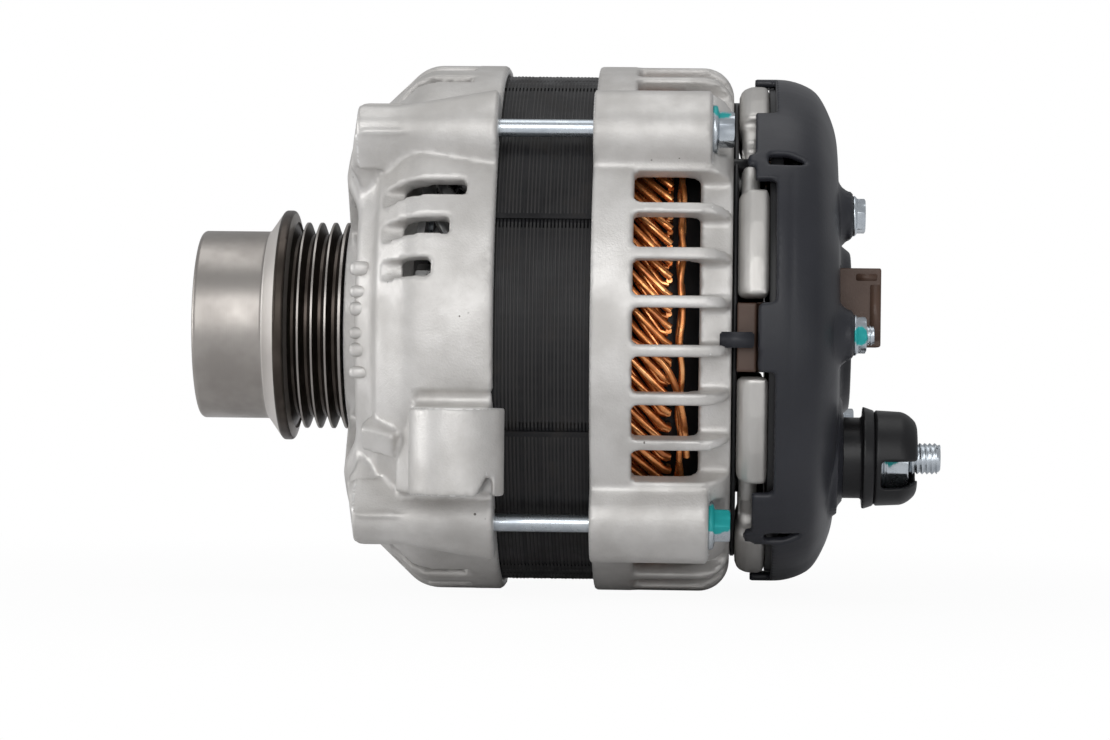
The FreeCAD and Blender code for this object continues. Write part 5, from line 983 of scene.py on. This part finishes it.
# %% Tools for fasteners
CORNER_ROUND = 1.02
CHAMFER_SLOPE = 0.55
CREST_START = 0.38
CREST_END = 0.52


def hexagon_radius(turn, flats):
    """Distance of a hexagon's side from its middle at an angle."""
    return flats / 2.0 / math.cos((turn % (math.pi / 3.0)) - math.pi / 6.0)


def hex_head(name, centre, seat, top, flats, flange, flange_thick, bore=0.0, turned=0.0):
    """A hexagon with its corners turned off, standing on a flange.

    seat and top are places along X, flats is the width over two sides, flange and bore are radii,
    all in mm. With no bore the top is dished, as a bolt head is.
    """
    corner_start = flats / 2.0 * CORNER_ROUND

    def side(place, chamfered=False):
        def found(turn):
            radius = hexagon_radius(turn + turned, flats)
            if chamfered:
                return place - max(radius - corner_start, 0.0) * CHAMFER_SLOPE - 0.06, radius
            return place, radius
        return found

    points = [(seat, bore), (seat, flange - 0.15), (seat + 0.15, flange),
              (seat + flange_thick * 0.55, flange), (seat + flange_thick * 0.85, flange - 0.25),
              (seat + flange_thick + 0.1, flats / 2.0 * 1.16), side(seat + flange_thick + 0.35),
              side(top, True), (top, corner_start - 0.1)]
    if bore:
        points += [(top, bore + 0.35), (top - 0.35, bore)]
    else:
        points += [(top, flats * 0.22), (top - 0.35, flats * 0.16), (top - 0.35, 0.0)]
    return lathe(name, points, closed=bore > 0.0, centre=centre)


def thread(name, centre, start, end, crest, root, pitch, steps=20):
    """A thread as one strip that winds along X, round a core with a chamfered tip.

    start and end are places along X, crest and root are radii, all in mm.
    """
    made = bmesh.new()
    total = int(((end - start) / pitch - 0.5) * steps)
    rows = []
    for number in range(total + 1):
        turn = 2.0 * math.pi * number / steps
        place = start + pitch * number / steps
        # The crest runs out towards both ends of the strip
        full = min(1.0, 0.25 + number / steps, 0.2 + (total - number) / steps)
        height = root + (crest - root) * full
        rows.append([made.verts.new(off_line(place + offset * pitch, radius, turn, centre))
                     for offset, radius in ((0.0, root), (CREST_START, height),
                                            (CREST_END, height))])
    for number in range(total):
        here, ahead = rows[number], rows[number + 1]
        made.faces.new((here[0], ahead[0], ahead[1], here[1]))
        made.faces.new((here[1], ahead[1], ahead[2], here[2]))
        if number + steps + 1 <= total:
            after, beyond = rows[number + steps], rows[number + steps + 1]
            made.faces.new((here[2], ahead[2], beyond[0], after[0]))
    bmesh.ops.recalc_face_normals(made, faces=made.faces)
    core = lathe(name + "_core", [
        (start, 0.0), (start, root + 0.02), (end - 0.5, root + 0.02), (end - 0.05, root - 0.45),
        (end - 0.05, 0.0)], 32, closed=False, centre=centre)
    return joined(name, [to_mesh(made, name + "_strip"), core])


def trimmed(name, drop):
    """The CAD mesh without the faces whose middle, in mm, passes the test."""
    made = bmesh.new()
    made.from_mesh(nodes[name].data)
    gone = [face for face in made.faces if drop(face.calc_center_median() / MM)]
    bmesh.ops.delete(made, geom=gone, context="FACES")
    return to_mesh(made, name + "_trimmed")


# %% Housing bolts, cover studs and their nuts
BOLT_FLANGE = 6.15
BOLT_SEAT = 103.0
bolt_place = solid_box("through_bolts")[1][2] - BOLT_FLANGE
heads = [hex_head(f"head_{number}", (side * bolt_place, level * bolt_place), BOLT_SEAT, 108.45,
                  flats=8.0, flange=BOLT_FLANGE, flange_thick=1.4, turned=0.3 * number)
         for number, (side, level) in enumerate(((-1, -1), (-1, 1), (1, -1), (1, 1)))]
shanks = trimmed("through_bolts", lambda middle: middle.x > BOLT_SEAT - 0.05)
put("housing_bolts", [shanks] + heads, "zinc_steel", stands_for=["through_bolts"])

# The middle of each cover stud, and how far its tip reaches
STUDS = (((-30.0, 29.0), 141.8), ((-46.5, -1.5), 144.0), ((39.7, -25.2), 141.8))
rods = []
for number, (centre, tip) in enumerate(STUDS):
    rods.append(lathe(f"rod_{number}", [
        (102.0, 0.0), (102.0, 2.2), (102.3, 2.5), (134.0, 2.5), (134.4, 2.1), (134.4, 0.0)],
        32, closed=False, centre=centre))
    rods.append(thread(f"thread_{number}", centre, 134.2, tip, crest=2.48, root=2.08, pitch=0.8))
put("cover_stud_rods", rods, "zinc_steel", stands_for=["cover_studs"])
caps = [hex_head(f"cap_{number}", centre, 138.82, 141.95, flats=8.0, flange=5.15,
                 flange_thick=0.8, bore=2.52, turned=0.2 + 0.25 * number)
        for number, (centre, tip) in enumerate(STUDS)]
put("cover_nut_set", caps, "zinc_steel", stands_for=["cover_nuts"])

# %% Output stud and nut
low, high = solid_box("output_nut_hexagon")
OUTPUT = ((low[1] + high[1]) / 2, (low[2] + high[2]) / 2)
shank = trimmed("output_stud_bolt", lambda middle: middle.x > 153.9)
screw = thread("output_screw", OUTPUT, 153.4, 162.0, crest=3.98, root=3.42, pitch=1.25,
               steps=28)
put("output_stud_threaded", [shank, screw], "zinc_steel", stands_for=["output_stud_bolt"])
nut = hex_head("output_nut", OUTPUT, 147.22, 153.65, flats=13.0, flange=7.35, flange_thick=0.9,
               bore=4.02, turned=math.pi / 6.0)
put("output_nut", nut, "zinc_steel", stands_for=["output_nut_hexagon"])

# %% [markdown]
# ## Heat sink, cover and terminal parts
#
# The rectifier's heat sink is a die casting that has been tumbled, so its blocks have fat round
# corners, and between the blocks its rim stands back. The cover and the output terminal are
# mouldings: their corners are rounded too, only less. The same remesh as for the housings does it,
# with more smoothing for the heat sink. The cover has a shallow crease where two slides of the
# mould met, and its rear face leans back towards the rim. The hood and the collar of the output
# terminal grow narrower towards the rear, so that they leave the mould.

# %% Round the heat sink, the cover and the terminal
RIM_NOTCH = 2.8
CREASE_PLACE = 122.9
CREASE_WIDTH = 0.8
CREASE_DEPTH = 0.22
FACE_LEAN = 0.055
FACE_FLAT = 21.0


def taper(mesh, places, amount, inside):
    """Draws points beyond a radius in towards the output stud, by an amount per place."""
    along, across, up = places
    away = np.maximum(np.hypot(across - OUTPUT[0], up - OUTPUT[1]), 0.1)
    factor = 1.0 - amount(along) * soft_step(away, inside - 1.5, inside + 1.0) / away
    reshape(mesh, along, OUTPUT[0] + (across - OUTPUT[0]) * factor,
            OUTPUT[1] + (up - OUTPUT[1]) * factor)


mesh, (along, across, up) = cast_copy("heat_sink_negative", voxel=0.62, rounds=14, keep=0.10)
distance = np.maximum(np.hypot(across, up), 1.0)
angle = np.degrees(np.arctan2(up, np.abs(across)))
notch = soft_step(angle, 41.8, 44.0) * soft_step(angle, 52.0, 50.0)
notch += soft_step(angle, -46.0, -48.0) * soft_step(angle, -56.0, -54.0)
notch *= soft_step(distance, 57.5, 60.0)
scale = 1.0 - RIM_NOTCH * notch / distance
reshape(mesh, along, across * scale, up * scale)
put("heat_sink_blocks", mesh, "sink_aluminium", stands_for=["heat_sink_negative"])

mesh, (along, across, up) = cast_copy("rear_cover", voxel=0.78, rounds=2, keep=0.15)
distance = np.hypot(across, up)
crease = np.exp(-((along - CREASE_PLACE) / CREASE_WIDTH) ** 2) * CREASE_DEPTH
crease *= (distance > 60.0) * soft_step(np.abs(up - 9.0), 32.0, 26.0) * (across < 0.0)
scale = 1.0 - crease / np.maximum(distance, 1.0)
lean = FACE_LEAN * np.maximum(distance - FACE_FLAT, 0.0) * soft_step(along, 128.0, 137.0)
# The seats of the nuts and of the terminal stay where they are
for centre, tip in STUDS:
    lean *= soft_step(np.hypot(across - centre[0], up - centre[1]), 6.0, 9.0)
lean *= soft_step(np.hypot(across - OUTPUT[0], up - OUTPUT[1]), 10.0, 13.0)
reshape(mesh, along - lean, across * scale, up * scale)
put("rear_cover_moulded", mesh, "cover_plastic", stands_for=["rear_cover"])

mesh, places = cast_copy("output_insulator", voxel=0.40, rounds=5, keep=0.10)
taper(mesh, places, lambda place: 0.34 * np.maximum(place - 142.0, 0.0), 11.0)
put("output_insulator_moulded", mesh, "black_plastic", stands_for=["output_insulator"])
mesh, places = cast_copy("output_shroud", voxel=0.40, rounds=6, keep=0.08)
taper(mesh, places, lambda place: 0.9 + 0.05 * (place - 145.0)
      + 0.13 * np.maximum(place - 151.2, 0.0) ** 2, 8.5)
put("output_shroud_moulded", mesh, "black_plastic", stands_for=["output_shroud"])
mesh, places = cast_copy("regulator", voxel=0.42, rounds=3, keep=0.12)
put("regulator_moulded", mesh, "brown_plastic", stands_for=["regulator"])

# %% Painted shade ring in the cover notches, lead sleeves, painted shade sheet, connector plates and clip finger
# A black ring just inside the cover behind the heat-sink blocks: painted shade that fills the
# cover's notches round the blocks.
put_ring("notch_painted_shade_ring", [(117.48, 60.2), (117.48, 63.0), (117.7, 63.2), (120.6, 63.2),
                          (120.8, 63.0), (120.8, 60.2)])
sleeves = [lathe("sleeve", [(97.6, 1.22), (97.6, 1.75), (117.2, 1.75), (117.2, 1.22)], 24,
                 centre=centre) for centre in ((41.0, 41.0), (0.0, 58.0), (-41.0, 41.0))]
put("lead_sleeves", sleeves, "black_plastic")
# A black ring in the gap between the rear housing and the heat sink: painted shade that keeps the
# gap from showing daylight.
put_ring("painted_shade_sheet", [(108.36, 44.0), (108.36, 59.0), (108.6, 59.4), (109.4, 59.4),
                              (109.64, 59.0), (109.64, 44.0)])


def soft_block(name, low, high, edge):
    """A block between two corners, with rounded edges. Sizes in mm."""
    made = bmesh.new()
    bmesh.ops.create_cube(made, size=1.0)
    for vertex in made.verts:
        vertex.co = Vector([(start + (end - start) * (value + 0.5)) * MM
                            for start, end, value in zip(low, high, vertex.co)])
    bmesh.ops.bevel(made, geom=made.edges, offset=edge * MM, segments=3, affect="EDGES")
    return to_mesh(made, name)


plates = [soft_block("collar_plate", (143.2, -36.2, -2.8), (145.9, -35.5, 11.4), 0.25),
          soft_block("latch_rail", (139.6, -36.1, 12.4), (145.0, -35.5, 14.2), 0.25)]
put("connector_plates", plates, "brown_plastic")
put("clip_finger", soft_block("clip_finger", (105.3, -65.9, -5.1), (113.8, -63.4, -1.2), 0.4),
    "cover_plastic")

# %% [markdown]
# ## Rib ends of the front air intake
#
# Round the pulley the front housing is open, and the ribs between its air holes end in small
# rounded bosses that catch the light one by one. Each is a squared-off egg, sunk into the face in
# a short row on either side.

# %% Rib ends
RIB_PLACE = (15.3, 49.4)
RIB_HALF_SIZE = (3.0, 3.4)
RIB_SQUARED = 0.62
ends = []
for side in (-1, 1):
    for number, level in enumerate((13.8, 8.0, 3.7, -2.4, -6.6, -12.2)):
        half_height = 1.9 if number % 2 == 0 else 1.6
        made = bmesh.new()
        bmesh.ops.create_uvsphere(made, u_segments=20, v_segments=12, radius=1.0)
        for vertex in made.verts:
            x, y, z = (math.copysign(abs(value) ** RIB_SQUARED, value) for value in vertex.co)
            vertex.co = ((RIB_PLACE[0] + RIB_HALF_SIZE[0] * x) * MM,
                         (side * RIB_PLACE[1] + RIB_HALF_SIZE[1] * y) * MM,
                         (level + half_height * z) * MM)
        ends.append(to_mesh(made, f"rib_end_{side}_{number}"))
put("intake_rib_ends", ends, "cast_aluminium")

# %% [markdown]
# ## Brush springs
#
# A small coil pushes each brush on its slip ring. A coil is a round wire along a helix, with
# closed turns at both ends. As the brush wears, the spring grows longer, and pushed back it gets
# shorter.

# %% Wind the springs
SPRING_WIRE = 0.5
SPRING_TURNS = 8
CLOSED_TURNS = 0.9
TURN_STEPS = 16
for end, joint in (("front", "front_brush_slide"), ("rear", "rear_brush_slide")):
    low, high = solid_box(f"brush_spring_{end}")
    middle = [(first + second) / 2 for first, second in zip(low, high)]
    radius = (high[0] - low[0] - SPRING_WIRE) / 2
    length = high[1] - low[1] - SPRING_WIRE
    helix = []
    for number in range(SPRING_TURNS * TURN_STEPS + 1):
        turns = number / TURN_STEPS
        share = (turns - CLOSED_TURNS) / (SPRING_TURNS - 2.0 * CLOSED_TURNS)
        helix.append(((middle[0] + radius * math.cos(2.0 * math.pi * turns)) * MM,
                      (low[1] + SPRING_WIRE / 2 + length * min(max(share, 0.0), 1.0)) * MM,
                      (middle[2] + radius * math.sin(2.0 * math.pi * turns)) * MM))
    spring = put(f"brush_coil_{end}", wire_mesh(f"spring_{end}", helix, SPRING_WIRE, "POLY"),
                 "plain_steel", stands_for=[f"brush_spring_{end}"])
    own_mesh(spring)

# %% [markdown] ## End of the dressing
# The looks may not make the part bigger than its
# CAD model.
